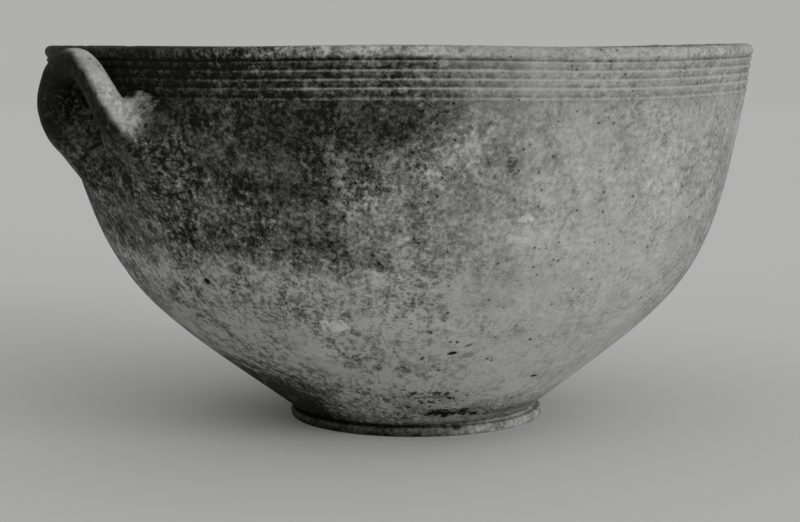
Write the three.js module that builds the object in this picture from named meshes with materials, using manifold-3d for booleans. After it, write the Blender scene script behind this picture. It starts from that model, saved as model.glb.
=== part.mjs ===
// Handled bowl: a deep wheel-thrown bowl with a grooved band under its lip, on a low ring foot,
// with two upright loop handles. Each handle leg is luted to the wall under a wad of clay.
// Millimetres, +Z up. The origin lies on the standing plane, below the centre of the lip.
// The handles stand on -X (left) and +X (right).

import * as THREE from "three";
import { mergeVertices } from "three/addons/utils/BufferGeometryUtils.js";
import Module from "manifold-3d";

const wasm = await Module();
wasm.setup();

// Bowl sizes
const RIM_RADIUS = 150;
const TOTAL_HEIGHT = 161;
const WALL_THICKNESS = 6;
const BASE_THICKNESS = 8.5;
const FLOOR_THICKNESS = 5;
const FLOOR_EDGE_RADIUS = 64;
const NECK_RADIUS = 52;
// The base of the wall stands off the lip's centre by these amounts along X and Y.
const LEAN_X = 4.4;
const LEAN_Y = -3.45;

// Lip and grooved band
const LIP_HEIGHT = 3;
const LIP_ROUND = 2.2;
// Depths of the ridges below the lip. Each groove deepens downwards and ends steeply at the next ridge.
const RIDGE_DEPTHS = [5.8, 9, 12.2, 15.4, 19.2];
const RIDGE_WIDTH = 0.9;
const GROOVE_DEPTH = 0.8;
const GROOVE_DEEPEST = 0.75;
const GROOVE_CURVE = 1.4;
const BAND_FOOT = 19.25;
const BAND_LEAN = THREE.MathUtils.degToRad(10);
const BAND_STEP = 0.5;

// Curve of the wall from the band to the neck: its slope off the vertical and its pull at either end
const SHOULDER_LEAN = THREE.MathUtils.degToRad(11.8);
const SHOULDER_PULL = 85;
const FLANK_LEAN = THREE.MathUtils.degToRad(52.6);
const FLANK_PULL = 87;

// Ring foot
const FOOT_HEIGHT = 4.6;
const FOOT_RADIUS = 55.2;
const FLANGE_HEIGHT = 3.8;
const FLANGE_ROUND = 0.8;
const FOOT_EDGE_ROUND = 1.5;
const STAND_WIDTH = 8;
const RECESS_SLOPE = 2.5;
// The foot is set on a little further off the centre than the wall.
const FOOT_OFFSET_X = 1;
const FOOT_OFFSET_Y = -0.75;

// Loop handles
const HANDLE_WIDTH = 12.6;
const HANDLE_THICKNESS = 11.4;
const HANDLE_SPREAD = 50;
const HANDLE_ROOT_DEPTH = 38;
const HANDLE_TOP_DROP = 1;
const HANDLE_CLEARANCE = 1.2;
const LEG_RUN_OUT = 20.8;
const LEG_RUN_UP = 3.2;
const ARCH_PULL = 18.2;
const ROOT_SWELL = 4;
const SWELL_LENGTH = 18.4;
const ROOT_DEPTH_IN_WALL = 9;

// Luting wads at the handle roots
// Collar and crown: how far a wad reaches past the rod on either side and above it
const WAD_COLLAR = 2.4;
const WAD_CROWN = 10.5;
const WAD_PROUD = 9.8;
const WAD_TAIL = 35.7;
const WAD_EMBED = 4;
const WAD_END_ANGLE = THREE.MathUtils.degToRad(78);
const LUTING_GAP = 0.3;

// Facets
const TURN_FACETS = 64;
const WALL_FACETS = 12;
const LIP_FACETS = 6;
const FLANGE_FACETS = 4;
const GROOVE_FACETS = 2;
const FLOOR_FACETS = 6;
const ROD_SIDES = 14;
const ROD_STEPS = 34;
const WAD_SIDES = 12;
const WAD_STEPS = 6;

const slip = (colour, roughness) =>
  new THREE.MeshStandardMaterial({ color: colour, roughness, metalness: 0 });

// A closed mesh as a solid that can be cut
function solidOf(geometry) {
  geometry.deleteAttribute("normal");
  geometry.deleteAttribute("uv");
  const merged = mergeVertices(geometry);
  return new wasm.Manifold(
    new wasm.Mesh({
      numProp: 3,
      vertProperties: new Float32Array(merged.attributes.position.array),
      triVerts: new Uint32Array(merged.index.array),
    }),
  );
}

// A solid as a geometry for a mesh
function geometryOf(solid) {
  const { vertProperties, triVerts } = solid.getMesh();
  const geometry = new THREE.BufferGeometry();
  geometry.setAttribute("position", new THREE.BufferAttribute(vertProperties, 3));
  geometry.setIndex(new THREE.BufferAttribute(triVerts, 1));
  geometry.computeVertexNormals();
  return geometry;
}

// A profile of radius and height turned round the upright axis
function turned(profile) {
  return new THREE.LatheGeometry(profile, TURN_FACETS).rotateX(Math.PI / 2);
}

// A skin over rings of equally many points, with both ends closed by a fan
function loft(rings) {
  const sides = rings[0].length;
  const points = rings.flat();
  const index = [];
  for (let ring = 0; ring < rings.length - 1; ring++) {
    for (let side = 0; side < sides; side++) {
      const next = (side + 1) % sides;
      const here = ring * sides;
      const there = here + sides;
      index.push(here + side, here + next, there + next);
      index.push(here + side, there + next, there + side);
    }
  }
  const lastRing = (rings.length - 1) * sides;
  for (let side = 1; side < sides - 1; side++) {
    index.push(0, side + 1, side);
    index.push(lastRing, lastRing + side, lastRing + side + 1);
  }
  return new THREE.BufferGeometry().setFromPoints(points).setIndex(index);
}

// Outline of the bowl's outside, as points of radius and height from the neck up to the lip's lower edge.
// standOff moves the outline outwards, for what is fitted against the wall.
function outsideOutline(standOff = 0) {
  const outline = wallCurve().getPoints(WALL_FACETS).reverse();
  const add = (depth, hollow) =>
    outline.push(new THREE.Vector2(ridgeRadius(depth) - hollow, TOTAL_HEIGHT - depth));
  for (let ridge = RIDGE_DEPTHS.length - 1; ridge >= 0; ridge--) {
    const grooveFoot = RIDGE_DEPTHS[ridge] - RIDGE_WIDTH / 2;
    const grooveTop = ridge > 0 ? RIDGE_DEPTHS[ridge - 1] + RIDGE_WIDTH / 2 : LIP_HEIGHT;
    add(grooveFoot + RIDGE_WIDTH, 0);
    add(grooveFoot, 0);
    for (let step = GROOVE_FACETS; step >= (ridge > 0 ? 1 : 0); step--) {
      const share = step / GROOVE_FACETS;
      const depth = THREE.MathUtils.lerp(grooveTop, grooveFoot, share * GROOVE_DEEPEST);
      add(depth, GROOVE_DEPTH * share ** GROOVE_CURVE);
    }
  }
  return outline.map((point) => new THREE.Vector2(point.x + standOff, point.y));
}

// Outer radius over the ridges at a depth below the lip
const ridgeRadius = (depth) => RIM_RADIUS - (depth - LIP_HEIGHT) * Math.tan(BAND_LEAN);

// The wall's outer curve, from just under the band down to the neck
function wallCurve() {
  const top = new THREE.Vector2(ridgeRadius(BAND_FOOT) - BAND_STEP, TOTAL_HEIGHT - BAND_FOOT - BAND_STEP);
  const neck = new THREE.Vector2(NECK_RADIUS, FOOT_HEIGHT);
  const along = (lean, length) => new THREE.Vector2(Math.sin(lean), Math.cos(lean)).multiplyScalar(length);
  return new THREE.CubicBezierCurve(
    top,
    top.clone().sub(along(SHOULDER_LEAN, SHOULDER_PULL)),
    neck.clone().add(along(FLANK_LEAN, FLANK_PULL)),
    neck,
  );
}

// Outer radius of the wall at a height, read off the outline
function wallRadiusAt(height) {
  const outline = outsideOutline();
  const above = Math.max(1, outline.findIndex((point) => point.y >= height));
  const low = outline[above - 1];
  const high = outline[above];
  return THREE.MathUtils.mapLinear(height, low.y, high.y, low.x, high.x);
}

// The bowl's inside, from the lip down to the centre of the floor: the wall thickens towards the base,
// and inside the floor's edge it runs out in a flat hollow.
function insideOutline() {
  const curve = wallCurve();
  const outline = [];
  let slope = null;
  for (let step = 0; step <= WALL_FACETS; step++) {
    const along = step / WALL_FACETS;
    const point = curve.getPoint(along);
    const tangent = curve.getTangent(along);
    const thickness = THREE.MathUtils.lerp(WALL_THICKNESS, BASE_THICKNESS, along);
    const inner = new THREE.Vector2(point.x + tangent.y * thickness, point.y - tangent.x * thickness);
    if (inner.x < FLOOR_EDGE_RADIUS) break;
    outline.push(inner);
    slope = tangent;
  }
  const floorEdge = outline.pop();
  const floorHeight = FOOT_HEIGHT + FLOOR_THICKNESS;
  const turnIn = floorEdge.x - ((floorEdge.y - floorHeight) * slope.x) / slope.y;
  const floor = new THREE.QuadraticBezierCurve(
    floorEdge,
    new THREE.Vector2(turnIn, floorHeight),
    new THREE.Vector2(0, floorHeight),
  );
  return [...outline, ...floor.getPoints(FLOOR_FACETS)];
}

function bowlBody() {
  const lipTop = new THREE.EllipseCurve(
    RIM_RADIUS - WALL_THICKNESS / 2,
    TOTAL_HEIGHT - LIP_ROUND,
    WALL_THICKNESS / 2,
    LIP_ROUND,
    0,
    Math.PI,
  );
  const profile = [
    new THREE.Vector2(0, FOOT_HEIGHT),
    ...outsideOutline(),
    ...lipTop.getPoints(LIP_FACETS),
    ...insideOutline(),
  ];
  return turned(profile);
}

// The foot: a flat standing ring with a thin flange outside and a sloped recess inside
function footRing() {
  const standInner = FOOT_RADIUS - FOOT_EDGE_ROUND - STAND_WIDTH;
  const recessTop = standInner - RECESS_SLOPE;
  const ledge = new THREE.QuadraticBezierCurve(
    new THREE.Vector2(FOOT_RADIUS - FLANGE_ROUND, FLANGE_HEIGHT),
    new THREE.Vector2(NECK_RADIUS, FLANGE_HEIGHT),
    new THREE.Vector2(NECK_RADIUS, FOOT_HEIGHT),
  );
  const quarter = (height, round, from) =>
    new THREE.EllipseCurve(FOOT_RADIUS - round, height, round, round, from, from + Math.PI / 2)
      .getPoints(FLANGE_FACETS);
  const start = new THREE.Vector2(standInner, 0);
  const profile = [
    start,
    ...quarter(FOOT_EDGE_ROUND, FOOT_EDGE_ROUND, -Math.PI / 2),
    ...quarter(FLANGE_HEIGHT - FLANGE_ROUND, FLANGE_ROUND, 0),
    ...ledge.getPoints(FLANGE_FACETS).slice(1),
    new THREE.Vector2(recessTop, FOOT_HEIGHT),
    start.clone(),
  ];
  return turned(profile);
}

// The rod's centre line on the right-hand side, from the leg on +Y over the arch to the leg on -Y
class HandlePath extends THREE.Curve {
  constructor() {
    super();
    const rootHeight = TOTAL_HEIGHT - HANDLE_ROOT_DEPTH;
    const rootY = HANDLE_SPREAD / 2;
    const rootX = Math.sqrt(wallRadiusAt(rootHeight) ** 2 - rootY ** 2);
    const lead = new THREE.Vector3(LEG_RUN_OUT, 0, LEG_RUN_UP);
    const root = new THREE.Vector3(rootX, rootY, rootHeight);
    const start = root.clone().addScaledVector(lead.clone().normalize(), -ROOT_DEPTH_IN_WALL);
    const apex = new THREE.Vector3(
      RIM_RADIUS + HANDLE_CLEARANCE + HANDLE_THICKNESS / 2,
      0,
      TOTAL_HEIGHT - HANDLE_TOP_DROP - HANDLE_WIDTH / 2,
    );
    const shoulder = apex.clone().add(new THREE.Vector3(0, ARCH_PULL, 0));
    this.half = new THREE.CubicBezierCurve3(start, root.clone().add(lead), shoulder, apex);
    const rise = apex.clone().sub(root).setY(0);
    this.across = new THREE.Vector3(rise.z, 0, -rise.x).normalize();
  }

  getPoint(along, target = new THREE.Vector3()) {
    const firstLeg = along < 0.5;
    this.half.getPoint(firstLeg ? 2 * along : 2 - 2 * along, target);
    if (!firstLeg) target.y = -target.y;
    return target;
  }
}

// The handle's rod, swelling towards its roots; extra makes it fatter all round
function handleRod(extra = 0) {
  const path = new HandlePath();
  const length = path.getLength();
  const rings = [];
  for (let step = 0; step <= ROD_STEPS; step++) {
    const along = step / ROD_STEPS;
    const centre = path.getPointAt(along);
    const forward = path.getTangentAt(along);
    const side = new THREE.Vector3().crossVectors(forward, path.across).normalize();
    const outward = new THREE.Vector3().crossVectors(side, forward);
    const fromRoot = Math.min(along, 1 - along) * length - ROOT_DEPTH_IN_WALL;
    const swell = ROOT_SWELL * Math.exp(-((Math.max(0, fromRoot) / SWELL_LENGTH) ** 2)) + extra;
    const ring = [];
    for (let corner = 0; corner < ROD_SIDES; corner++) {
      const turn = (2 * Math.PI * corner) / ROD_SIDES;
      ring.push(
        centre
          .clone()
          .addScaledVector(side, (HANDLE_WIDTH / 2 + swell) * Math.sin(turn))
          .addScaledVector(outward, (HANDLE_THICKNESS / 2 + swell) * Math.cos(turn)),
      );
    }
    rings.push(ring);
  }
  return solidOf(loft(rings));
}

// A wad of clay on the wall round one root: a mound with a round top and a long tapering tail
function wadMound(side) {
  const rootHeight = TOTAL_HEIGHT - HANDLE_ROOT_DEPTH;
  const bearing = side * Math.asin(HANDLE_SPREAD / 2 / wallRadiusAt(rootHeight));
  const rise = HANDLE_THICKNESS / 2 + ROOT_SWELL + WAD_CROWN;
  const reach = HANDLE_WIDTH / 2 + ROOT_SWELL + WAD_COLLAR;
  const rings = [];
  for (let step = -WAD_STEPS; step <= WAD_STEPS; step++) {
    const lift = (step / WAD_STEPS) * WAD_END_ANGLE;
    const above = lift > 0 ? rise * Math.sin(lift) : (WAD_TAIL * lift) / (Math.PI / 2);
    const height = rootHeight + above;
    const wall = wallRadiusAt(height);
    const halfWidth = reach * Math.cos(lift);
    const proud = WAD_PROUD * Math.cos(lift);
    const ring = [new THREE.Vector3(wall - WAD_EMBED, -halfWidth, height)];
    for (let corner = 0; corner <= WAD_SIDES; corner++) {
      const turn = (Math.PI * corner) / WAD_SIDES;
      const across = -halfWidth * Math.cos(turn);
      ring.push(new THREE.Vector3(wall + proud * Math.sin(turn), across, height));
    }
    ring.push(new THREE.Vector3(wall - WAD_EMBED, halfWidth, height));
    rings.push(ring);
  }
  return solidOf(loft(rings).rotateZ(bearing));
}

// All that lies inside the wall's outside and the luting gap, as one plug
function wallPlug() {
  const outline = outsideOutline(LUTING_GAP);
  const top = outline[outline.length - 1].clone().setY(TOTAL_HEIGHT);
  const profile = [new THREE.Vector2(0, FOOT_HEIGHT), ...outline, top, new THREE.Vector2(0, TOTAL_HEIGHT)];
  return solidOf(turned(profile));
}

const clay = {
  body: slip(0x86847c, 0.85),
  foot: slip(0x8d8b83, 0.9),
  handle: slip(0x7b7972, 0.8),
  wad: slip(0x7f7d75, 0.88),
};

const plug = wallPlug();
const handleGeometry = geometryOf(handleRod().subtract(plug));
const fatRod = handleRod(LUTING_GAP);
const wadGeometry = [1, -1].map((side) => geometryOf(wadMound(side).subtract(plug).subtract(fatRod)));

function named(name, geometry, material) {
  const mesh = new THREE.Mesh(geometry, material);
  mesh.name = name;
  return mesh;
}

// A handle with the wads at its two roots, turned to its side of the bowl
function handleGroup(sideName, turn, wadNames) {
  const group = new THREE.Group();
  group.add(named(`${sideName}_handle`, handleGeometry, clay.handle));
  wadNames.forEach((wad, index) => {
    group.add(named(`${sideName}_${wad}_wad`, wadGeometry[index], clay.wad));
  });
  group.rotation.z = turn;
  return group;
}

// The whole pot leans evenly: the lip keeps its place and the foot stands off to one side.
const pot = new THREE.Group();
const foot = named("foot_ring", footRing(), clay.foot);
foot.position.set(FOOT_OFFSET_X, FOOT_OFFSET_Y, 0);
pot.add(
  named("bowl_body", bowlBody(), clay.body),
  foot,
  handleGroup("left", Math.PI, ["front", "back"]),
  handleGroup("right", 0, ["back", "front"]),
);
pot.matrixAutoUpdate = false;
pot.matrix
  .makeShear(0, 0, 0, 0, -LEAN_X / TOTAL_HEIGHT, -LEAN_Y / TOTAL_HEIGHT)
  .setPosition(LEAN_X, LEAN_Y, 0);

const handledBowl = new THREE.Group();
handledBowl.add(pot);

export default handledBowl;
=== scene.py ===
"""Looks of the handled bowl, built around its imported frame.

A deep thrown bowl with a grooved band under its lip, a low ring foot and upright loop handles whose roots
are smeared onto the wall. Dark slip has worn off much of the pale clay. The pot's classes hold their sizes
in millimetres; the finished meshes are in metres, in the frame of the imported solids.
"""

import logging
import math
from dataclasses import dataclass
from enum import Enum
from typing import Sequence, Union

import bmesh
import bpy
from mathutils import Matrix, Vector, noise
from mathutils.geometry import interpolate_bezier


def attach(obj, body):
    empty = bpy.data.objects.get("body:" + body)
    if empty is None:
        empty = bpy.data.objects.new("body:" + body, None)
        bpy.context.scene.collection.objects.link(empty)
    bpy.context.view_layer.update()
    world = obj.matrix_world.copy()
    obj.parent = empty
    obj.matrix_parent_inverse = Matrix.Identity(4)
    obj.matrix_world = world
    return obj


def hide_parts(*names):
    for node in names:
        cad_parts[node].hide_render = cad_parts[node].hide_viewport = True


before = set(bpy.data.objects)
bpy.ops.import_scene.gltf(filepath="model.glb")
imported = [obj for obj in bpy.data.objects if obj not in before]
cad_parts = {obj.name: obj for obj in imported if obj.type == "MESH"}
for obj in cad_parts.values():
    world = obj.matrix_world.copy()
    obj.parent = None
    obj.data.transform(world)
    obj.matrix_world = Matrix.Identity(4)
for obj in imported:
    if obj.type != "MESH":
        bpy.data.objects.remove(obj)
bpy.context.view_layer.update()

LOG = logging.getLogger("handled_bowl")
MILLIMETRE = 0.001
BODY_NAME = "root"
QUARTER_TURN = math.pi / 2.0
# Points closer than this are one, in millimetres; the second value is for the seam between two halves.
WELD = 0.001
SEAM = 0.01
# Radius about the axis within which a bearing means little, in millimetres.
CORE = 1.0

Skin = bmesh.types.BMesh
Piece = bpy.types.Object
Finish = bpy.types.Material
Socket = bpy.types.NodeSocket
Number = Union[float, Socket]
Span = tuple[float, float]
Triple = tuple[float, float, float]
Tone = tuple[float, float, float, float]


class Slot(Enum):
    """Material slots of the record."""

    BODY = "body"
    FOOT = "foot"
    HANDLE = "handle"
    WAD = "wad"


class Field(Enum):
    """Point attributes that the finishes read."""

    # The slip's cover, which also carries the wall's painted shade and painted bounce light.
    SLIP = "slip"
    CREST = "crest"
    HOLLOW = "hollow"
    UNREST = "unrest"


class MarkKind(Enum):
    """What a single mark on the surface is."""

    DARK = "dark"
    PALE = "pale"


class Side(Enum):
    """The two sides of the pot that carry a handle, with the turn that brings it there.

    The left one was set on by eye, half a degree round from the line through the right one.
    """

    LEFT = math.radians(180.5)
    RIGHT = 0.0


def clamp(value: float, low: float = 0.0, high: float = 1.0) -> float:
    """Keep a value between two limits."""
    return max(low, min(high, value))


def ease(low: float, high: float, value: float) -> float:
    """Rise smoothly from 0 at low to 1 at high."""
    share = clamp((value - low) / (high - low))
    return share * share * (3.0 - 2.0 * share)


def blend(first: float, second: float, share: float) -> float:
    """Go from first to second as share goes from 0 to 1."""
    return first + (second - first) * share


def ripple(out: Vector, turns: float, up: float) -> float:
    """Give a soft unevenness from -1 to 1 round the pot, closer together with more turns."""
    return noise.noise(Vector((out.x * turns, out.y * turns, up)))


@dataclass(frozen=True)
class Lean:
    """The pot's lean: the lip keeps its place and the base stands off to one side.

    Args:
        height: height of the lip above the standing plane.
        base_x: offset of the base along X.
        base_y: offset of the base along Y.
    """

    height: float = 161.0
    base_x: float = 4.4
    base_y: float = -3.45

    def moved(self, point: Vector) -> Vector:
        """Give the place of a point once the pot leans."""
        share = 1.0 - point.z / self.height
        return Vector((point.x + self.base_x * share, point.y + self.base_y * share, point.z))

    def apply(self, bm: Skin) -> None:
        """Lean every vertex of a mesh."""
        for vert in bm.verts:
            vert.co = self.moved(vert.co)


@dataclass(frozen=True)
class SlipAndPaintedLight:
    """How much of the dark slip has stayed on, from 0 for bare clay to 1 for whole slip. The cover also
    carries painted shade above the foot and at the pot's left and right edges, and painted bounce light that
    makes the lower wall paler.

    A share says how far a point lies towards the slip's side, from -1 on the far side to 1. Heights are above
    the standing plane. A span of heights or shares gives where something starts and where it is complete.

    Args:
        bearing: direction of the slip's side, in degrees from +X.
        reach: radius at which the share is 1.
        half: cover at the slip's edge.
        edge_high: share at which the slip's edge lies on the upper wall.
        edge_low: share at which it lies on the lower wall.
        edge_heights: heights between which it goes over from the one to the other.
        edge_wander: how far the edge wanders.
        wander_scale: how closely it wanders.
        edge_width_high: how gradually the slip thins towards its edge on the upper wall.
        edge_width_bare: how gradually it dies out beyond its edge there.
        edge_width_low: how gradually it ends round the lower wall.
        lip_edge: share at which the slip's edge lies on the lip's own top.
        lip_width: how gradually it thins towards its edge there.
        lip_width_bare: how gradually it dies out beyond its edge there.
        lip_least: least cover there.
        end_height: height at which the slip ends.
        end_width: how gradually it ends there.
        thin: cover low down, where it starts to end.
        thin_height: height up to which the cover is thin.
        whole_height: height from which the cover is whole.
        whole_power: how slowly it starts to grow between them.
        band_heights: heights over which the wall goes over into the grooved band.
        rubbed_top: cover on the band where it is rubbed, away from the slip's side.
        rubbed_shares: shares over which the band goes over from rubbed to whole.
        stain_lit: stain on the bare clay on the far side, low down.
        stain_high: stain there high up.
        stain_heights: heights between which it goes over.
        stain_lee: stain on the bare clay on the slip's side.
        lee_shares: shares between which the stain goes over to the slip's side.
        silhouette_shade: painted shade at the far end of the pot as the camera sees it, where the wall turns
            away, on the middle of the wall.
        silhouette_shade_lee: the same painted shade at the slip's end.
        end_shares: shares over which an end's painted shade begins, to either side.
        end_rise: heights over which the ends' painted shade grows from below.
        end_fall: heights over which it dies out above.
        foot_share: share of the stain that is left above the foot: painted bounce light from the floor, which
            makes the lower wall paler.
        foot_heights: heights over which it grows to the full stain.
        film: cover of the thin film that is left beyond the slip's edge.
        film_shares: shares over which the film begins.
        film_heights: heights over which it begins.
        lee: painted shade above the foot on the slip's side, where the lower wall turns away from the lamp.
        flank_heights: heights over which it grows down the flank.
        flank_shares: shares over which it grows round the flank.
        joint_part: part of it along the joint with the foot, painted shade there too.
        joint_heights: heights over which that part grows.
        joint_shares: shares over which it grows.
        ring_darkening: how much darker the wall is all round towards the joint with the foot.
        ring_heights: heights over which it grows.
        foot_cover: cover on the foot, midway round.
        foot_lean: how much more it is on the slip's side.
        foot_bare: cover on the foot's far side.
        foot_shares: shares over which the foot goes over to it.
        inside_cover: cover inside the bowl.
        inside_swing: how uneven it is.
        inside_scale: how closely it changes.
        calm: unevenness of the wear on the far side.
        lively: unevenness of the wear on the slip's side.
        unrest_shares: shares between which it goes over.
        rub_shares: shares over which raised edges begin to be rubbed.
    """

    bearing: float = 142.0
    reach: float = 145.0
    half: float = 0.48
    edge_high: float = -0.155
    edge_low: float = 0.02
    edge_heights: Span = (119.0, 132.0)
    edge_wander: float = 0.13
    wander_scale: float = 0.035
    edge_width_high: float = 0.5
    edge_width_bare: float = 1.0
    edge_width_low: float = 1.0
    lip_edge: float = 0.3
    lip_width: float = 0.69
    lip_width_bare: float = 1.2
    lip_least: float = 0.22
    end_height: float = 80.5
    end_width: float = 25.0
    thin: float = 0.675
    thin_height: float = 84.0
    whole_height: float = 158.0
    whole_power: float = 1.5
    band_heights: Span = (140.5, 142.5)
    rubbed_top: float = 0.64
    rubbed_shares: Span = (-0.1, 0.62)
    stain_lit: float = 0.15
    stain_high: float = 0.27
    stain_heights: Span = (70.0, 150.0)
    stain_lee: float = 0.21
    lee_shares: Span = (-0.4, 0.5)
    silhouette_shade: float = 0.13
    silhouette_shade_lee: float = 0.27
    end_shares: Span = (0.72, 0.98)
    end_rise: Span = (24.0, 46.0)
    end_fall: Span = (128.0, 108.0)
    foot_share: float = 0.5
    foot_heights: Span = (38.0, 66.0)
    film: float = 0.37
    film_shares: Span = (-0.46, -0.24)
    film_heights: Span = (84.0, 100.0)
    lee: float = 0.95
    flank_heights: Span = (44.0, 14.0)
    flank_shares: Span = (0.25, 0.75)
    joint_part: float = 0.8
    joint_heights: Span = (16.0, 7.0)
    joint_shares: Span = (0.0, 0.6)
    ring_darkening: float = 0.26
    ring_heights: Span = (24.0, 9.0)
    foot_cover: float = 0.84
    foot_lean: float = 0.2
    foot_bare: float = 0.32
    foot_shares: Span = (0.1, -0.65)
    inside_cover: float = 0.64
    inside_swing: float = 0.14
    inside_scale: float = 0.02
    calm: float = 0.37
    lively: float = 1.05
    unrest_shares: Span = (-0.35, 0.2)
    rub_shares: Span = (0.72, 0.05)

    def share(self, point: Vector, reach: float) -> float:
        """Give how far a point lies towards the slip's bearing, from -1 to 1."""
        angle = math.radians(self.bearing)
        return (point.x * math.cos(angle) + point.y * math.sin(angle)) / reach

    def around(self, point: Vector) -> float:
        """Give the share of a point's own bearing, whatever its radius."""
        return self.share(point, point.xy.length + CORE)

    def slip_left(self, point: Vector) -> float:
        """Give the slip that is left on the wall.

        Args:
            point: a point on the pot, in millimetres.

        Returns:
            The cover, which goes below 0 beyond the slip's edge.
        """
        share = self.share(point, self.reach)
        up = ease(*self.edge_heights, point.z)
        wander = self.edge_wander * noise.noise(point * self.wander_scale)
        edge = blend(self.edge_low, self.edge_high, up) + wander
        width = self.edge_width_high if share > edge else self.edge_width_bare
        round_pot = self.half + (share - edge) / blend(self.edge_width_low, width, up)
        upright = self.half + (point.z - self.end_height) / self.end_width
        climb = clamp((point.z - self.thin_height) / (self.whole_height - self.thin_height))
        whole = blend(self.thin, 1.0, climb**self.whole_power)
        rubbed = blend(self.rubbed_top, 1.0, ease(*self.rubbed_shares, share))
        whole = blend(whole, rubbed, ease(*self.band_heights, point.z))
        return min(round_pot, upright, whole)

    def stain(self, point: Vector) -> float:
        """Give the stain and the thin film on the bare clay of the wall, with painted shade at the pot's left
        and right edges and painted bounce light that makes the wall paler above the foot.

        Args:
            point: a point on the pot, in millimetres.

        Returns:
            The cover that they come to.
        """
        share = self.share(point, self.reach)
        lit = blend(self.stain_lit, self.stain_high, ease(*self.stain_heights, point.z))
        # Painted shade at the pot's left and right edges as the camera sees them, where the wall turns away.
        ends = ease(*self.end_shares, abs(self.around(point)))
        ends *= ease(*self.end_rise, point.z) * ease(*self.end_fall, point.z)
        silhouette_shade = self.silhouette_shade if share < 0.0 else self.silhouette_shade_lee
        stain = blend(lit, self.stain_lee, ease(*self.lee_shares, share)) + silhouette_shade * ends
        # Less stain above the foot: painted bounce light from the floor.
        stain *= blend(self.foot_share, 1.0, ease(*self.foot_heights, point.z))
        film = self.film * ease(*self.film_shares, share) * ease(*self.film_heights, point.z)
        return max(stain, film)

    def above_foot(self, point: Vector) -> float:
        """Give the painted shade above the foot, most of it on the slip's side, and the darkening all round
        towards the joint.

        Args:
            point: a point on the pot, in millimetres.

        Returns:
            The cover to add.
        """
        around = self.around(point)
        # Painted shade low on the slip's side and along the joint there; the ring all round is only darker
        # towards the joint.
        flank = ease(*self.flank_heights, point.z) * ease(*self.flank_shares, around)
        joint = ease(*self.joint_heights, point.z) * ease(*self.joint_shares, around)
        ring = self.ring_darkening * ease(*self.ring_heights, point.z)
        return max(self.lee * max(flank, self.joint_part * joint), ring)

    def on_wall(self, point: Vector) -> float:
        """Give the cover at a point of the wall: slip and stain, with the painted shade and painted bounce
        light.
        """
        return clamp(max(self.stain(point), self.slip_left(point)) + self.above_foot(point))

    def on_lip(self, point: Vector) -> float:
        """Give the cover on the lip, which is rubbed bare farther round.

        Args:
            point: a point on the lip, in millimetres.

        Returns:
            The cover.
        """
        toward = self.share(point, self.reach) - self.lip_edge
        width = self.lip_width if toward > 0.0 else self.lip_width_bare
        return clamp(self.half + toward / width, self.lip_least, 1.0)

    def on_foot(self, point: Vector, reach: float) -> float:
        """Give the cover at a point of the foot, whole on the slip's side and thin on the other.

        Args:
            point: a point on the foot, in millimetres.
            reach: the foot's radius.

        Returns:
            The cover.
        """
        share = self.share(point, reach)
        near = self.foot_cover + self.foot_lean * share
        return clamp(blend(near, self.foot_bare, ease(*self.foot_shares, share)))

    def on_inside(self, point: Vector) -> float:
        """Give the cover inside the bowl, which is even all round."""
        return clamp(self.inside_cover + self.inside_swing * noise.noise(point * self.inside_scale))

    def unrest(self, point: Vector) -> float:
        """Give how uneven the wear is: strong on the slip's side, faint away from it."""
        return blend(self.calm, self.lively, ease(*self.unrest_shares, self.share(point, self.reach)))

    def rub(self, point: Vector) -> float:
        """Give how far raised edges are rubbed: 0 on the slip's side, 1 away from it."""
        return ease(*self.rub_shares, self.share(point, self.reach))


class Wright:
    """Shared hand work on meshes: fields, turning, and making a finished piece."""

    @staticmethod
    def start() -> Skin:
        """Start a mesh.

        Returns:
            An empty mesh that holds the finishes' fields.
        """
        bm = bmesh.new()
        for name in Field:
            bm.verts.layers.float.new(name.value)
        return bm

    @staticmethod
    def turn(bm: Skin, outline: Sequence[Vector], steps: int, closed: bool) -> None:
        """Turn an outline round the upright axis.

        Args:
            bm: mesh that takes the turned skin.
            outline: points of radius and height, as X and Z.
            steps: facets round the axis.
            closed: whether the outline's last point joins its first.
        """
        verts = [bm.verts.new(point) for point in outline]
        ends = verts[1:] + ([verts[0]] if closed else [])
        edges = [bm.edges.new(pair) for pair in zip(verts, ends)]
        bmesh.ops.spin(
            bm,
            geom=verts + edges,
            cent=(0.0, 0.0, 0.0),
            axis=(0.0, 0.0, 1.0),
            dvec=(0.0, 0.0, 0.0),
            angle=math.tau,
            steps=steps,
            use_merge=True,
            use_duplicate=False,
        )
        bmesh.ops.remove_doubles(bm, verts=bm.verts, dist=WELD)
        bmesh.ops.recalc_face_normals(bm, faces=bm.faces)

    @staticmethod
    def fields(
        vert: bmesh.types.BMVert, bm: Skin, slip: float, unrest: float, crest: float, hollow: float
    ) -> None:
        """Write the four fields of one vertex.

        Args:
            vert: the vertex.
            bm: its mesh.
            slip: cover of the slip, with any painted shade and painted bounce light.
            unrest: unevenness of the wear.
            crest: 1 on a rubbed crest.
            hollow: 1 in the bottom of a hollow that holds dirt.
        """
        values = {Field.SLIP: slip, Field.UNREST: unrest, Field.CREST: crest, Field.HOLLOW: hollow}
        for name, value in values.items():
            vert[bm.verts.layers.float[name.value]] = value

    @staticmethod
    def piece(bm: Skin, name: str, node: str, slot: Slot, finish: Finish) -> Piece:
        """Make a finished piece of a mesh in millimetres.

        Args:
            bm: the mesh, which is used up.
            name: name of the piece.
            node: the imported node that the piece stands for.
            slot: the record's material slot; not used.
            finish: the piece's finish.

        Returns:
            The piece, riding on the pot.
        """
        bmesh.ops.scale(bm, vec=(MILLIMETRE,) * 3, verts=bm.verts)
        for face in bm.faces:
            face.smooth = True
        mesh = bpy.data.meshes.new(name)
        bm.to_mesh(mesh)
        bm.free()
        mesh.materials.append(finish)
        piece = bpy.data.objects.new(name, mesh)
        bpy.context.scene.collection.objects.link(piece)
        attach(piece, BODY_NAME)
        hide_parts(node)
        return piece


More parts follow.
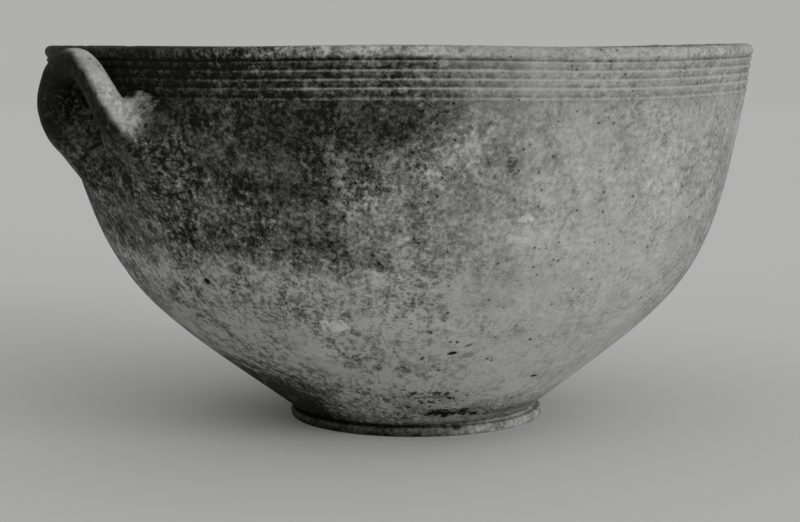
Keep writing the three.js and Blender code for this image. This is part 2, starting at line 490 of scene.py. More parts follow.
@dataclass
class ThrownBody:
    """The thrown bowl: wall, grooved band, lip, inside and floor.

    Depths are below the lip's top, and heights above the standing plane.

    Args:
        rim_radius: outer radius under the lip.
        height: height of the lip.
        wall_thickness: thickness of the wall under the lip.
        base_thickness: its thickness at the neck.
        floor_thickness: thickness of the floor.
        floor_edge_radius: inner radius at which the wall turns into the floor.
        neck_radius: outer radius where the wall meets the foot.
        foot_height: height of the wall's underside.
        lip_height: depth at which the lip ends.
        lip_round: how far the lip's top is rounded down.
        lip_edge: depth at which the first groove starts.
        ridge_depths: depths of the ridges, each of which ends a groove.
        ridge_half: half the width of a ridge's crest.
        ridge_over: how far below the last ridge its crest counts.
        first_rub: how far the first ridge is rubbed, against 1 for the middle ones.
        last_rub: how far the last ridge is rubbed.
        groove_depth: depth of a groove.
        groove_bottom: share of the way down a groove at which it is deepest.
        groove_power: how slowly it starts to deepen.
        groove_end: share of the way at which it is closed again.
        dirt_power: how closely the dirt keeps to a groove's bottom.
        first_dirt: how much more of it lies in the first groove.
        band_foot: depth at which the band ends.
        band_lean: angle by which the band leans in.
        band_step: step in from the band to the wall.
        band_over: how far the band's outline runs past its last ridge.
        band_step_length: length of a step of the band's outline.
        shoulder_lean: angle at which the wall leaves the band.
        shoulder_pull: how far it keeps to that angle.
        flank_lean: angle at which the wall meets the neck.
        flank_pull: how far it keeps to that angle.
        dips: place across the pot, depth and width of each dip in the lip.
        dip_bearing: direction in which their places are counted.
        dip_depth: depth by which the dips have died out.
        waves: height, turns and rise of the soft waves in the wall.
        band_wave: height, turns and rise of the band's own wave.
        band_margin: how far below the band its wave still reaches.
        band_sink: how far the band is set back for its wave.
        skin_sink: how far the whole skin is set back for the waves.
        nick: depth, turns, rise and least strength of the nicks in the lip.
        nick_depths: depths over which the nicks grow.
        outer_skin: how far inside the outer radius a point still counts as outside.
        lip_rub: depth to which the lip's wear reaches outside.
        inside_rub: depth to which it reaches inside.
        lip_top: depth down to which it is complete.
        inside_unrest: unevenness of the wear inside.
        turn_steps: facets round the pot.
        wall_steps: points of the wall's curve.
        lip_steps: steps over the lip.
        floor_steps: points from the wall to the centre of the floor.
    """

    rim_radius: float = 150.0
    height: float = 161.0
    wall_thickness: float = 6.0
    base_thickness: float = 8.5
    floor_thickness: float = 5.0
    floor_edge_radius: float = 64.0
    neck_radius: float = 52.0
    foot_height: float = 4.6
    lip_height: float = 3.0
    lip_round: float = 2.2
    lip_edge: float = 3.4
    ridge_depths: tuple[float, ...] = (5.8, 9.0, 12.2, 15.4, 19.2)
    ridge_half: float = 0.4
    ridge_over: float = 0.3
    first_rub: float = 0.45
    last_rub: float = 0.6
    groove_depth: float = 0.75
    groove_bottom: float = 0.72
    groove_power: float = 1.2
    groove_end: float = 0.94
    dirt_power: float = 2.5
    first_dirt: float = 2.2
    band_foot: float = 19.25
    band_lean: float = math.radians(10.0)
    band_step: float = 0.5
    band_over: float = 0.2
    band_step_length: float = 0.21
    shoulder_lean: float = math.radians(11.8)
    shoulder_pull: float = 85.0
    flank_lean: float = math.radians(52.6)
    flank_pull: float = 87.0
    dips: tuple[Triple, ...] = ((0.58, 2.1, 0.46), (-0.5, 1.1, 0.42))
    dip_bearing: float = math.radians(-38.0)
    dip_depth: float = 70.0
    waves: tuple[Triple, ...] = ((0.16, 2.2, 0.05), (0.07, 5.0, 0.22))
    band_wave: Triple = (0.14, 16.0, 0.6)
    band_margin: float = 1.0
    band_sink: float = 0.1
    skin_sink: float = 0.17
    nick: tuple[float, float, float, float] = (1.1, 21.0, 0.25, 0.34)
    nick_depths: Span = (4.0, 0.5)
    outer_skin: float = 2.0
    lip_rub: float = 4.8
    inside_rub: float = 15.0
    lip_top: float = 3.2
    inside_unrest: float = 0.6
    turn_steps: int = 256
    wall_steps: int = 66
    lip_steps: int = 16
    floor_steps: int = 14

    def band_radius(self, depth: float) -> float:
        """Give the outer radius over the ridges at a depth below the lip."""
        return self.rim_radius - (depth - self.lip_height) * math.tan(self.band_lean)

    def hollow(self, depth: float) -> float:
        """Give how far a groove is cut: it deepens slowly downwards and ends steeply at the next ridge.

        Args:
            depth: depth below the lip's top.

        Returns:
            The share of the groove's full depth.
        """
        edges = (self.lip_edge, *self.ridge_depths)
        for high, low in zip(edges, edges[1:]):
            if high <= depth <= low:
                share = (depth - high) / (low - high)
                if share < self.groove_bottom:
                    return (share / self.groove_bottom) ** self.groove_power
                return 1.0 - ease(self.groove_bottom, self.groove_end, share)
        return 0.0

    def crest(self, depth: float) -> float:
        """Give how far the ridges' crests are rubbed at a depth.

        Args:
            depth: depth below the lip's top.

        Returns:
            1 on a fully rubbed crest, falling to 0 beside it.
        """
        rubs = (self.first_rub, *(1.0,) * (len(self.ridge_depths) - 2), self.last_rub)
        return max(
            rub * math.exp(-(((depth - ridge) / self.ridge_half) ** 2))
            for ridge, rub in zip(self.ridge_depths, rubs)
        )

    def dip(self, out: Vector, depth: float) -> float:
        """Give how far the uneven lip has sunk, which fades out down the wall.

        Args:
            out: level direction out from the axis.
            depth: depth below the lip's top.

        Returns:
            The drop.
        """
        across = out.x * math.cos(self.dip_bearing) + out.y * math.sin(self.dip_bearing)
        sunk = sum(deep * math.exp(-(((across - place) / width) ** 2)) for place, deep, width in self.dips)
        return sunk * ease(self.dip_depth, 0.0, depth)

    def wall_curve(self) -> list[Vector]:
        """Draw the wall's outer curve.

        Returns:
            Its points, from under the band down to the neck.
        """
        foot = self.band_foot
        top = Vector((self.band_radius(foot) - self.band_step, 0.0, self.height - foot - self.band_step))
        neck = Vector((self.neck_radius, 0.0, self.foot_height))
        shoulder = Vector((math.sin(self.shoulder_lean), 0.0, math.cos(self.shoulder_lean)))
        flank = Vector((math.sin(self.flank_lean), 0.0, math.cos(self.flank_lean)))
        return interpolate_bezier(
            top, top - shoulder * self.shoulder_pull, neck + flank * self.flank_pull, neck, self.wall_steps
        )

    def wall_radius(self, height: float) -> float:
        """Give the outer radius of the wall.

        Args:
            height: height above the standing plane.

        Returns:
            The radius there.
        """
        depth = self.height - height
        if depth <= self.band_foot:
            return self.band_radius(depth)
        curve = self.wall_curve()
        for high, low in zip(curve, curve[1:]):
            if low.z <= height <= high.z:
                return blend(low.x, high.x, (height - low.z) / (high.z - low.z))
        return curve[0].x if height > curve[0].z else curve[-1].x

    def outside(self) -> list[Vector]:
        """Draw the outside.

        Returns:
            The outline from the centre of the underside up to the lip's lower edge.
        """
        outline = [Vector((0.0, 0.0, self.foot_height)), *reversed(self.wall_curve())]
        foot = self.ridge_depths[-1] + self.band_over
        steps = round((foot - self.lip_height) / self.band_step_length)
        for step in range(steps + 1):
            depth = blend(foot, self.lip_height, step / steps)
            radius = self.band_radius(depth) - self.groove_depth * self.hollow(depth)
            outline.append(Vector((radius, 0.0, self.height - depth)))
        return outline

    def lip(self) -> list[Vector]:
        """Draw the lip's rounded top.

        Returns:
            The outline from the outside over to the inside.
        """
        half = self.wall_thickness / 2.0
        points = []
        for step in range(self.lip_steps + 1):
            angle = math.pi * step / self.lip_steps
            radius = self.rim_radius - half + half * math.cos(angle)
            points.append(Vector((radius, 0.0, self.height - self.lip_round * (1.0 - math.sin(angle)))))
        return points

    def inside(self) -> list[Vector]:
        """Draw the inside: the wall's curve moved in by its thickness, and a soft turn into the floor.

        Returns:
            The outline from under the lip down to the centre of the floor.
        """
        curve = self.wall_curve()
        outline: list[Vector] = []
        slope = Vector((0.0, 0.0, -1.0))
        for index, point in enumerate(curve):
            before = curve[max(0, index - 1)]
            after = curve[min(len(curve) - 1, index + 1)]
            slope = (after - before).normalized()
            thickness = blend(self.wall_thickness, self.base_thickness, index / (len(curve) - 1))
            inner = point + Vector((slope.z, 0.0, -slope.x)) * thickness
            if inner.x < self.floor_edge_radius:
                break
            outline.append(inner)
        edge = outline.pop()
        floor = Vector((0.0, 0.0, self.foot_height + self.floor_thickness))
        turn_in = Vector((edge.x - (edge.z - floor.z) * slope.x / slope.z, 0.0, floor.z))
        pull = 2.0 / 3.0
        return outline + interpolate_bezier(
            edge, edge.lerp(turn_in, pull), floor.lerp(turn_in, pull), floor, self.floor_steps
        )

    def shaped(self, point: Vector) -> Vector:
        """Give a point its hand-made unevenness: the lip's sag, soft waves in the wall and nicks.

        Args:
            point: a point of the turned skin.

        Returns:
            Where the point lies on the thrown pot.
        """
        radius = math.hypot(point.x, point.y)
        if radius < CORE:
            return point.copy()
        out = Vector((point.x / radius, point.y / radius, 0.0))
        depth = self.height - point.z
        wave = sum(high * ripple(out, turns, point.z * rise) for high, turns, rise in self.waves)
        if depth < self.band_foot + self.band_margin:
            high, turns, rise = self.band_wave
            wave += high * ripple(out, turns, point.z * rise) - self.band_sink
        deep, turns, rise, least = self.nick
        nick = max(0.0, ripple(out, turns, point.z * rise) - least)
        drop = self.dip(out, depth) + deep * nick * ease(*self.nick_depths, depth)
        return point + out * (wave - self.skin_sink) - Vector((0.0, 0.0, drop))

    def dress(self, vert: bmesh.types.BMVert, bm: Skin, cover: SlipAndPaintedLight) -> None:
        """Write the finish's fields at a vertex of the turned skin.

        Args:
            vert: the vertex, before it is shaped by hand.
            bm: its mesh.
            cover: where the slip has stayed on, with the painted shade and painted bounce light.
        """
        point = vert.co
        depth = self.height - point.z
        outer = point.xy.length > self.wall_radius(point.z) - self.outer_skin
        hollow = self.hollow(depth) ** self.dirt_power if outer else 0.0
        hollow *= self.first_dirt if depth < self.ridge_depths[0] else 1.0
        ridged = outer and depth < self.ridge_depths[-1] + self.ridge_over
        crest = self.crest(depth) * cover.rub(point) if ridged else 0.0
        slip = cover.on_wall(point) if outer else cover.on_inside(point)
        rubbed_to = self.lip_rub if outer else self.inside_rub
        slip = blend(slip, cover.on_lip(point), ease(rubbed_to, self.lip_top, depth))
        unrest = cover.unrest(point) if outer else self.inside_unrest
        Wright.fields(vert, bm, slip, unrest, crest, hollow)

    def build(self, lean: Lean, cover: SlipAndPaintedLight, finish: Finish) -> Piece:
        """Turn the bowl, dress it and shape it by hand.

        Args:
            lean: the pot's lean.
            cover: where the slip has stayed on, with the painted shade and painted bounce light.
            finish: the body's finish.

        Returns:
            The finished piece.
        """
        bm = Wright.start()
        Wright.turn(bm, [*self.outside(), *self.lip(), *self.inside()], self.turn_steps, closed=False)
        for vert in bm.verts:
            self.dress(vert, bm, cover)
            vert.co = self.shaped(vert.co)
        lean.apply(bm)
        return Wright.piece(bm, "thrown_body", "bowl_body", Slot.BODY, finish)


@dataclass
class RingFoot:
    """The low flanged foot with a flat standing ring and a shallow recess.

    Args:
        radius: outer radius of the flange.
        height: height of the foot under the wall.
        flange_height: height of the flange.
        neck_radius: radius where the wall stands on the foot.
        neck_inset: how far inside that the foot's top starts.
        edge_round: round of the flange's lower edge.
        top_round: round of its upper edge.
        stand_width: width of the flat standing ring.
        recess_slope: how far the recess draws in towards its top.
        offset_x: offset of the foot along X.
        offset_y: offset of the foot along Y.
        rim_inset: how far outside the neck the flange's own wear starts.
        joint_over: heights above the flange over which dirt lies in the joint.
        joint_shares: shares over which that dirt begins.
        unevenness: turns of the flange's wave, and the height in the noise that it is taken at.
        nick: turns and least strength of the nicks.
        wear: how far the flange is worn back evenly, by its wave and by the nicks.
        rise: how far its top rises and sinks.
        rub: how far its upper edge is rubbed.
        rub_heights: heights over which that begins.
        unrest: unevenness of the wear.
        turn_steps: facets round the foot.
        arc_steps: steps of each round.
    """

    radius: float = 55.2
    height: float = 4.6
    flange_height: float = 3.8
    neck_radius: float = 52.0
    neck_inset: float = 0.6
    edge_round: float = 1.5
    top_round: float = 1.3
    stand_width: float = 8.0
    recess_slope: float = 2.5
    offset_x: float = 1.0
    offset_y: float = -0.75
    rim_inset: float = 1.0
    joint_over: Span = (-0.4, 0.2)
    joint_shares: Span = (-0.9, 0.2)
    unevenness: Span = (3.0, 4.0)
    nick: Span = (17.0, 0.2)
    wear: Triple = (0.22, 0.2, 0.7)
    rise: float = 0.25
    rub: float = 0.25
    rub_heights: Span = (0.8, 2.8)
    unrest: float = 0.6
    turn_steps: int = 224
    arc_steps: int = 6

    def rounded(self, size: float, level: float, start: float) -> list[Vector]:
        """Draw a quarter round of the flange's edge, upwards.

        Args:
            size: its radius.
            level: height of its centre.
            start: angle at which it starts.

        Returns:
            Its points.
        """
        angles = [start + QUARTER_TURN * step / self.arc_steps for step in range(self.arc_steps + 1)]
        return [
            Vector((self.radius - size * (1.0 - math.cos(angle)), 0.0, level + size * math.sin(angle)))
            for angle in angles
        ]

    def outline(self) -> list[Vector]:
        """Draw the ring's section.

        Returns:
            Its points, from the standing face outwards and round.
        """
        inner = self.radius - self.edge_round - self.stand_width
        points = [Vector((inner, 0.0, 0.0)), Vector((inner + self.stand_width / 2.0, 0.0, 0.0))]
        points += self.rounded(self.edge_round, self.edge_round, -QUARTER_TURN)
        points += self.rounded(self.top_round, self.flange_height - self.top_round, 0.0)
        ledge_in = Vector((self.neck_radius, 0.0, self.flange_height))
        ledge_top = Vector((self.neck_radius - self.neck_inset, 0.0, self.height))
        points += interpolate_bezier(points[-1], ledge_in, ledge_in, ledge_top, self.arc_steps)[1:]
        points.append(Vector((inner - self.recess_slope, 0.0, self.height)))
        return points

    def dress(self, vert: bmesh.types.BMVert, bm: Skin, cover: SlipAndPaintedLight) -> None:
        """Wear a vertex of the turned ring, and write the finish's fields there.

        Args:
            vert: the vertex.
            bm: its mesh.
            cover: where the slip has stayed on.
        """
        radius = vert.co.xy.length
        out = Vector((vert.co.x / radius, vert.co.y / radius, 0.0))
        rim = ease(self.neck_radius + self.rim_inset, self.radius, radius)
        low, high = (self.flange_height + over for over in self.joint_over)
        hollow = ease(low, high, vert.co.z) * (1.0 - rim)
        hollow *= ease(*self.joint_shares, cover.share(vert.co, self.radius))
        slip = cover.on_foot(vert.co, self.radius)
        uneven = ripple(out, *self.unevenness)
        turns, least = self.nick
        nick = max(0.0, ripple(out, turns, vert.co.z) - least)
        even, waved, nicked = self.wear
        vert.co -= out * rim * (even + waved * uneven + nicked * nick)
        if vert.co.z > self.edge_round:
            vert.co.z += self.rise * uneven * rim
        crest = self.rub * rim * ease(*self.rub_heights, vert.co.z)
        Wright.fields(vert, bm, slip, self.unrest, crest, hollow)

    def build(self, lean: Lean, cover: SlipAndPaintedLight, finish: Finish) -> Piece:
        """Turn the foot, wear its edge and dress it.

        Args:
            lean: the pot's lean.
            cover: where the slip has stayed on.
            finish: the foot's finish.

        Returns:
            The finished piece.
        """
        bm = Wright.start()
        Wright.turn(bm, self.outline(), self.turn_steps, closed=True)
        for vert in bm.verts:
            self.dress(vert, bm, cover)
        bmesh.ops.translate(bm, vec=(self.offset_x, self.offset_y, 0.0), verts=bm.verts)
        lean.apply(bm)
        return Wright.piece(bm, "turned_foot", "foot_ring", Slot.FOOT, finish)


@dataclass
class LoopHandle:
    """A rolled rod bent into an upright loop, with its two roots smeared onto the wall.

    It is shaped on the +X side, and turned to its own side when it is finished. Depths are below the lip's
    top. A span gives where something starts and where it is complete.

    Args:
        width: width of the rod across the loop.
        thickness: thickness of the rod out from the pot.
        spread: distance between the roots.
        root_depth: depth of the roots.
        top_drop: depth of the loop's top.
        clearance: room between the loop and the lip.
        run_out: how far the rod runs out from the wall.
        run_up: how far it climbs on that run.
        arch_pull: how far it keeps level at the top.
        root_swell: how far it swells towards its roots.
        swell_length: length over which it swells.
        depth_in_wall: how deep it starts in the wall.
        rod_sides: facets round the rod.
        rod_steps: steps along the rod.
        collar: how far a wad reaches to either side of the rod.
        crown: how far it reaches above the rod.
        proud: how far it stands out from the wall.
        tail: how far it is smeared down the wall.
        embed: how deep it sits in the wall.
        mound_round: how flat it lies on the wall.
        crown_round: how flat its crown lies.
        crown_span: part of its upper half over which the crown begins.
        mound_facets: facets round a wad and along it.
        voxel: grain of the kneading.
        soften_radius: how far round a root it is smoothed.
        soften_rounds: rounds of smoothing there.
        soften_factor: strength of a round.
        soften_narrowing: how much narrower the last round is.
        dents: height and closeness of the skin's unevenness.
        cut_out: how far out from the wall a root ends.
        rub_direction: direction from which a hand rubs the rod.
        rub_wander: how far the rubbed edge wanders, and how closely.
        rod_rub: how squarely the rod has to face that way to be rubbed.
        rod_cover: cover where it is rubbed.
        rod_unrest: unevenness of the rod's wear.
        root_rub: how squarely a root has to face that way.
        root_cover: cover where it is rubbed.
        near_span: places along Y at which the rubbed side begins.
        whole_shares: shares over which the cover of the rod's lee grows from the wall's to whole.
        smear_proud: how far out from the wall a rubbed smear begins.
        smear_depths: depths over which it begins from below.
        smear_ends: places along Y over which it begins from beside.
        bare_depths: depths over which its barest part begins.
        bare_ends: places along Y over which that begins.
        smear_unrest: how much of the rod's calm the smear has.
        loop_proud: how far out from the wall the loop's own wear begins.
        loop_depths: depths over which it begins from below.
        arch_depths: depths above which all is the loop's.
    """

    width: float = 12.5
    thickness: float = 11.2
    spread: float = 50.0
    root_depth: float = 38.0
    top_drop: float = 1.0
    clearance: float = 1.2
    run_out: float = 20.5
    run_up: float = 5.4
    arch_pull: float = 18.2
    root_swell: float = 4.0
    swell_length: float = 18.4
    depth_in_wall: float = 2.0
    rod_sides: int = 28
    rod_steps: int = 44
    collar: float = 9.0
    crown: float = 12.0
    proud: float = 11.5
    tail: float = 42.0
    embed: float = 3.4
    mound_round: float = 3.8
    crown_round: float = 1.8
    crown_span: Span = (0.0, 0.6)
    mound_facets: tuple[int, int] = (36, 28)
    voxel: float = 1.0
    soften_radius: float = 25.0
    soften_rounds: int = 26
    soften_factor: float = 0.5
    soften_narrowing: float = 0.4
    dents: tuple[Span, ...] = ((0.32, 0.075), (0.14, 0.21))
    cut_out: float = 9.4
    rub_direction: Triple = (-0.15, 0.75, 0.6)
    rub_wander: Span = (0.08, 0.2)
    rod_rub: Span = (0.2, 0.68)
    rod_cover: float = 0.14
    rod_unrest: float = 0.34
    root_rub: Span = (-0.1, 0.6)
    root_cover: float = 0.46
    near_span: Span = (-15.0, -3.0)
    whole_shares: Span = (-0.3, 0.3)
    smear_proud: Span = (0.2, 4.0)
    smear_depths: Span = (40.0, 26.0)
    smear_ends: Span = (37.3, 33.3)
    bare_depths: Span = (31.0, 22.0)
    bare_ends: Span = (34.0, 27.0)
    smear_unrest: float = 0.6
    loop_proud: Span = (9.0, 16.0)
    loop_depths: Span = (42.0, 30.0)
    arch_depths: Span = (20.0, 14.0)

    def path(self, body: ThrownBody) -> tuple[list[Vector], Vector]:
        """Draw the rod's centre line from the +Y root over the arch to the -Y root.

        Args:
            body: the bowl that carries the handle.

        Returns:
            The points of the line, and the direction across the loop's own plane.
        """
        root_height = body.height - self.root_depth
        wall = body.wall_radius(root_height)
        half_spread = self.spread / 2.0
        root = Vector((math.sqrt(wall**2 - half_spread**2), half_spread, root_height))
        lead = Vector((self.run_out, 0.0, self.run_up))
        start = root - lead.normalized() * self.depth_in_wall
        out = body.rim_radius + self.clearance + self.thickness / 2.0
        apex = Vector((out, 0.0, body.height - self.top_drop - self.width / 2.0))
        shoulder = apex + Vector((0.0, self.arch_pull, 0.0))
        half = interpolate_bezier(start, root + lead, shoulder, apex, self.rod_steps // 2 + 1)
        mirrored = [Vector((point.x, -point.y, point.z)) for point in reversed(half[:-1])]
        rise = apex - root
        return half + mirrored, Vector((rise.z, 0.0, -rise.x)).normalized()

    def sections(self, body: ThrownBody) -> list[Matrix]:
        """Set out the rod's round section along its line.

        Args:
            body: the bowl that carries the handle.

        Returns:
            The place, turn and size of the section at each step.
        """
        line, across = self.path(body)
        lengths = [0.0]
        for before, after in zip(line, line[1:]):
            lengths.append(lengths[-1] + (after - before).length)
        sections = []
        for index, centre in enumerate(line):
            forward = (line[min(index + 1, len(line) - 1)] - line[max(index - 1, 0)]).normalized()
            side = forward.cross(across).normalized()
            outward = side.cross(forward)
            from_root = min(lengths[index], lengths[-1] - lengths[index]) - self.depth_in_wall
            swell = self.root_swell * math.exp(-((max(0.0, from_root) / self.swell_length) ** 2))
            wide, thick = self.width / 2.0 + swell, self.thickness / 2.0 + swell
            section = Matrix.Identity(4)
            for column, axis in enumerate((side * wide, outward * thick, forward)):
                section.col[column][:3] = axis
            section.translation = centre
            sections.append(section)
        return sections

    def add_rod(self, bm: Skin, body: ThrownBody) -> None:
        """Draw the round section out along the line, and close both ends.

        Args:
            bm: mesh that takes the rod.
            body: the bowl that carries the handle.
        """
        sections = self.sections(body)
        circle = bmesh.ops.create_circle(bm, segments=self.rod_sides, radius=1.0, matrix=sections[0])
        edges = list({edge for vert in circle["verts"] for edge in vert.link_edges})
        rim = list(edges)
        for before, after in zip(sections, sections[1:]):
            drawn = bmesh.ops.extrude_edge_only(bm, edges=edges)["geom"]
            verts = [item for item in drawn if isinstance(item, bmesh.types.BMVert)]
            lines = [item for item in drawn if isinstance(item, bmesh.types.BMEdge)]
            fresh = set(verts)
            edges = [line for line in lines if fresh.issuperset(line.verts)]
            bmesh.ops.transform(bm, matrix=after @ before.inverted(), verts=verts)
        bmesh.ops.holes_fill(bm, edges=rim + edges, sides=0)

    def add_mound(self, bm: Skin, body: ThrownBody, side: int) -> None:
        """Press a wad of clay onto the wall round one root: a round crown above and a long smear below.

        Args:
            bm: mesh that takes the wad.
            body: the bowl that carries it.
            side: 1 for the root on +Y, -1 for the one on -Y.
        """
        root_height = body.height - self.root_depth
        bearing = side * math.asin(self.spread / 2.0 / body.wall_radius(root_height))
        rise = self.thickness / 2.0 + self.root_swell + self.crown
        reach = self.width / 2.0 + self.root_swell + self.collar
        around, along_it = self.mound_facets
        ball = bmesh.ops.create_uvsphere(bm, u_segments=around, v_segments=along_it, radius=1.0)["verts"]
        for vert in ball:
            out, across, along = vert.co
            climb = rise * along if along > 0.0 else self.tail * math.asin(max(-1.0, along)) / QUARTER_TURN
            power = blend(self.mound_round, self.crown_round, ease(*self.crown_span, along))
            lift = self.proud * out**power if out > 0.0 else self.embed * out
            height = root_height + climb
            wall = body.wall_radius(height)
            angle = bearing + reach * across / wall
            radius = wall + lift
            vert.co = Vector((radius * math.cos(angle), radius * math.sin(angle), height))

    def blended(self, body: ThrownBody) -> Skin:
        """Work the rod and its two wads into one smooth skin.

        Args:
            body: the bowl that carries the handle.

        Returns:
            The skin, on the +X side, in millimetres.
        """
        bm = bmesh.new()
        self.add_rod(bm, body)
        for side in (1, -1):
            self.add_mound(bm, body, side)
        bmesh.ops.recalc_face_normals(bm, faces=bm.faces)
        mesh = bpy.data.meshes.new("handle_clay")
        bm.to_mesh(mesh)
        bm.free()
        lump = bpy.data.objects.new("handle_clay", mesh)
        bpy.context.scene.collection.objects.link(lump)
        knead = lump.modifiers.new("knead", "REMESH")
        knead.mode = "VOXEL"
        knead.voxel_size = self.voxel
        kneaded = lump.evaluated_get(bpy.context.evaluated_depsgraph_get())
        skin = Wright.start()
        skin.from_mesh(kneaded.to_mesh())
        kneaded.to_mesh_clear()
        bpy.data.objects.remove(lump)
        bpy.data.meshes.remove(mesh)
        self.drop_crumbs(skin)
        self.soften(skin, body)
        return skin

    @staticmethod
    def drop_crumbs(skin: Skin) -> None:
        """Delete the crumbs that the kneading left loose beside the one large skin.

        Args:
            skin: the kneaded skin.
        """
        unseen = set(skin.verts)
        lumps = []
        while unseen:
            fresh = [unseen.pop()]
            lump = list(fresh)
            while fresh:
                vert = fresh.pop()
                found = [other for edge in vert.link_edges if (other := edge.other_vert(vert)) in unseen]
                unseen.difference_update(found)
                fresh.extend(found)
                lump.extend(found)
            lumps.append(lump)
        lumps.sort(key=len)
        bmesh.ops.delete(skin, geom=[vert for lump in lumps[:-1] for vert in lump], context="VERTS")

    def smooth(self, skin: Skin, verts: Sequence[bmesh.types.BMVert]) -> None:
        """Smooth some vertices once."""
        axes = {f"use_axis_{axis}": True for axis in "xyz"}
        bmesh.ops.smooth_vert(skin, verts=verts, factor=self.soften_factor, **axes)

    def soften(self, skin: Skin, body: ThrownBody) -> None:
        """Smooth the skin, most of all round the roots, and leave it a little uneven.

        Args:
            skin: the kneaded skin.
            body: the bowl that carries the handle.
        """
        line, _ = self.path(body)
        roots = (line[0], line[-1])
        self.smooth(skin, skin.verts[:])
        for step in range(self.soften_rounds):
            reach = self.soften_radius * (1.0 - self.soften_narrowing * step / self.soften_rounds)
            near = [vert for vert in skin.verts if min((vert.co - root).length for root in roots) < reach]
            self.smooth(skin, near)
        skin.normal_update()
        for vert in skin.verts:
            uneven = sum(high * noise.noise(vert.co * close) for high, close in self.dents)
            vert.co += vert.normal * uneven
        skin.normal_update()

    def dress(self, skin: Skin, body: ThrownBody, side: Side, lean: Lean, cover: SlipAndPaintedLight) -> None:
        """Write the finishes' fields: slip whole in the lee of the loop, rubbed off where a hand goes.

        Args:
            skin: the smooth skin, on the +X side.
            body: the bowl that carries the handle.
            side: the side that it is turned to.
            lean: the pot's lean.
            cover: where the slip has stayed on, with the painted shade and painted bounce light.
        """
        turn = Matrix.Rotation(side.value, 4, "Z")
        rub = Vector(self.rub_direction).normalized()
        wander, close = self.rub_wander
        for vert in skin.verts:
            facing = vert.normal.dot(rub) + wander * noise.noise(vert.co * close)
            near = ease(*self.near_span, vert.co.y)
            proud = vert.co.xy.length - body.wall_radius(vert.co.z)
            depth = body.height - vert.co.z
            place = lean.moved(turn @ vert.co)
            wall = cover.on_wall(place)
            whole = blend(wall, 1.0, ease(*self.whole_shares, cover.share(place, cover.reach)))
            rod = blend(whole, self.rod_cover, ease(*self.rod_rub, facing) * near)
            smear = ease(*self.root_rub, facing) * near * ease(*self.smear_proud, proud)
            smear *= ease(*self.smear_depths, depth) * ease(*self.smear_ends, vert.co.y)
            barest = ease(*self.bare_ends, vert.co.y) * ease(*self.bare_depths, depth)
            root = blend(wall, blend(self.root_cover, self.rod_cover, barest), smear)
            loop = ease(*self.loop_proud, proud) * ease(*self.loop_depths, depth)
            loop = max(loop, ease(*self.arch_depths, depth))
            unrest = blend(cover.unrest(place), self.rod_unrest, max(loop, self.smear_unrest * smear))
            Wright.fields(vert, skin, blend(root, rod, loop), unrest, 0.0, 0.0)

    def cut_planes(self, body: ThrownBody) -> list[tuple[Vector, Vector]]:
        """Find where each root is told apart from the loop.

        Args:
            body: the bowl that carries the handle.

        Returns:
            For each root, a point on the rod's line and the direction out of the root there.
        """
        line, _ = self.path(body)
        planes = []
        for points in (line, line[::-1]):
            gone = 0.0
            for before, after in zip(points, points[1:]):
                gone += (after - before).length
                if gone >= self.depth_in_wall + self.cut_out:
                    planes.append((after, (after - before).normalized()))
                    break
        return planes

    @staticmethod
    def cut(part: Skin, place: Sequence[float], way: Sequence[float], inner: bool) -> None:
        """Cut a skin along a plane, and delete one side of it.

        Args:
            part: the skin.
            place: a point on the plane.
            way: the direction out of the plane.
            inner: whether the side behind the plane goes, or else the one before it.
        """
        bmesh.ops.bisect_plane(
            part,
            geom=[*part.verts, *part.edges, *part.faces],
            dist=WELD,
            plane_co=place,
            plane_no=way,
            clear_inner=inner,
            clear_outer=not inner,
        )

    def parted(self, skin: Skin, side: int, plane: tuple[Vector, Vector], root: bool) -> Skin:
        """Give one half of the skin, on one side of its root's plane.

        Args:
            skin: the whole skin.
            side: 1 for the half on +Y, -1 for the half on -Y.
            plane: point and direction of the cut at the root.
            root: whether to keep the root, or else the loop.

        Returns:
            The part that is kept, open where it was cut.
        """
        part = skin.copy()
        self.cut(part, (0.0, 0.0, 0.0), (0.0, side, 0.0), inner=True)
        self.cut(part, *plane, inner=not root)
        return part

    def whole_loop(self, skin: Skin, planes: Sequence[tuple[Vector, Vector]]) -> Skin:
        """Give the loop between the two roots.

        Args:
            skin: the whole skin.
            planes: the cut at each root.

        Returns:
            The loop, open at both ends.
        """
        loop = self.parted(skin, 1, planes[0], root=False)
        other = self.parted(skin, -1, planes[1], root=False)
        spare = bpy.data.meshes.new("half_loop")
        other.to_mesh(spare)
        other.free()
        loop.from_mesh(spare)
        bpy.data.meshes.remove(spare)
        bmesh.ops.remove_doubles(loop, verts=loop.verts, dist=SEAM)
        return loop

    @staticmethod
    def close(part: Skin) -> None:
        """Close the cut faces, with a crisp edge round each.

        Args:
            part: a part that is open where it was cut.
        """
        open_edges = [edge for edge in part.edges if edge.is_boundary]
        bmesh.ops.holes_fill(part, edges=open_edges, sides=0)
        for edge in open_edges:
            edge.smooth = False
        bmesh.ops.recalc_face_normals(part, faces=part.faces)

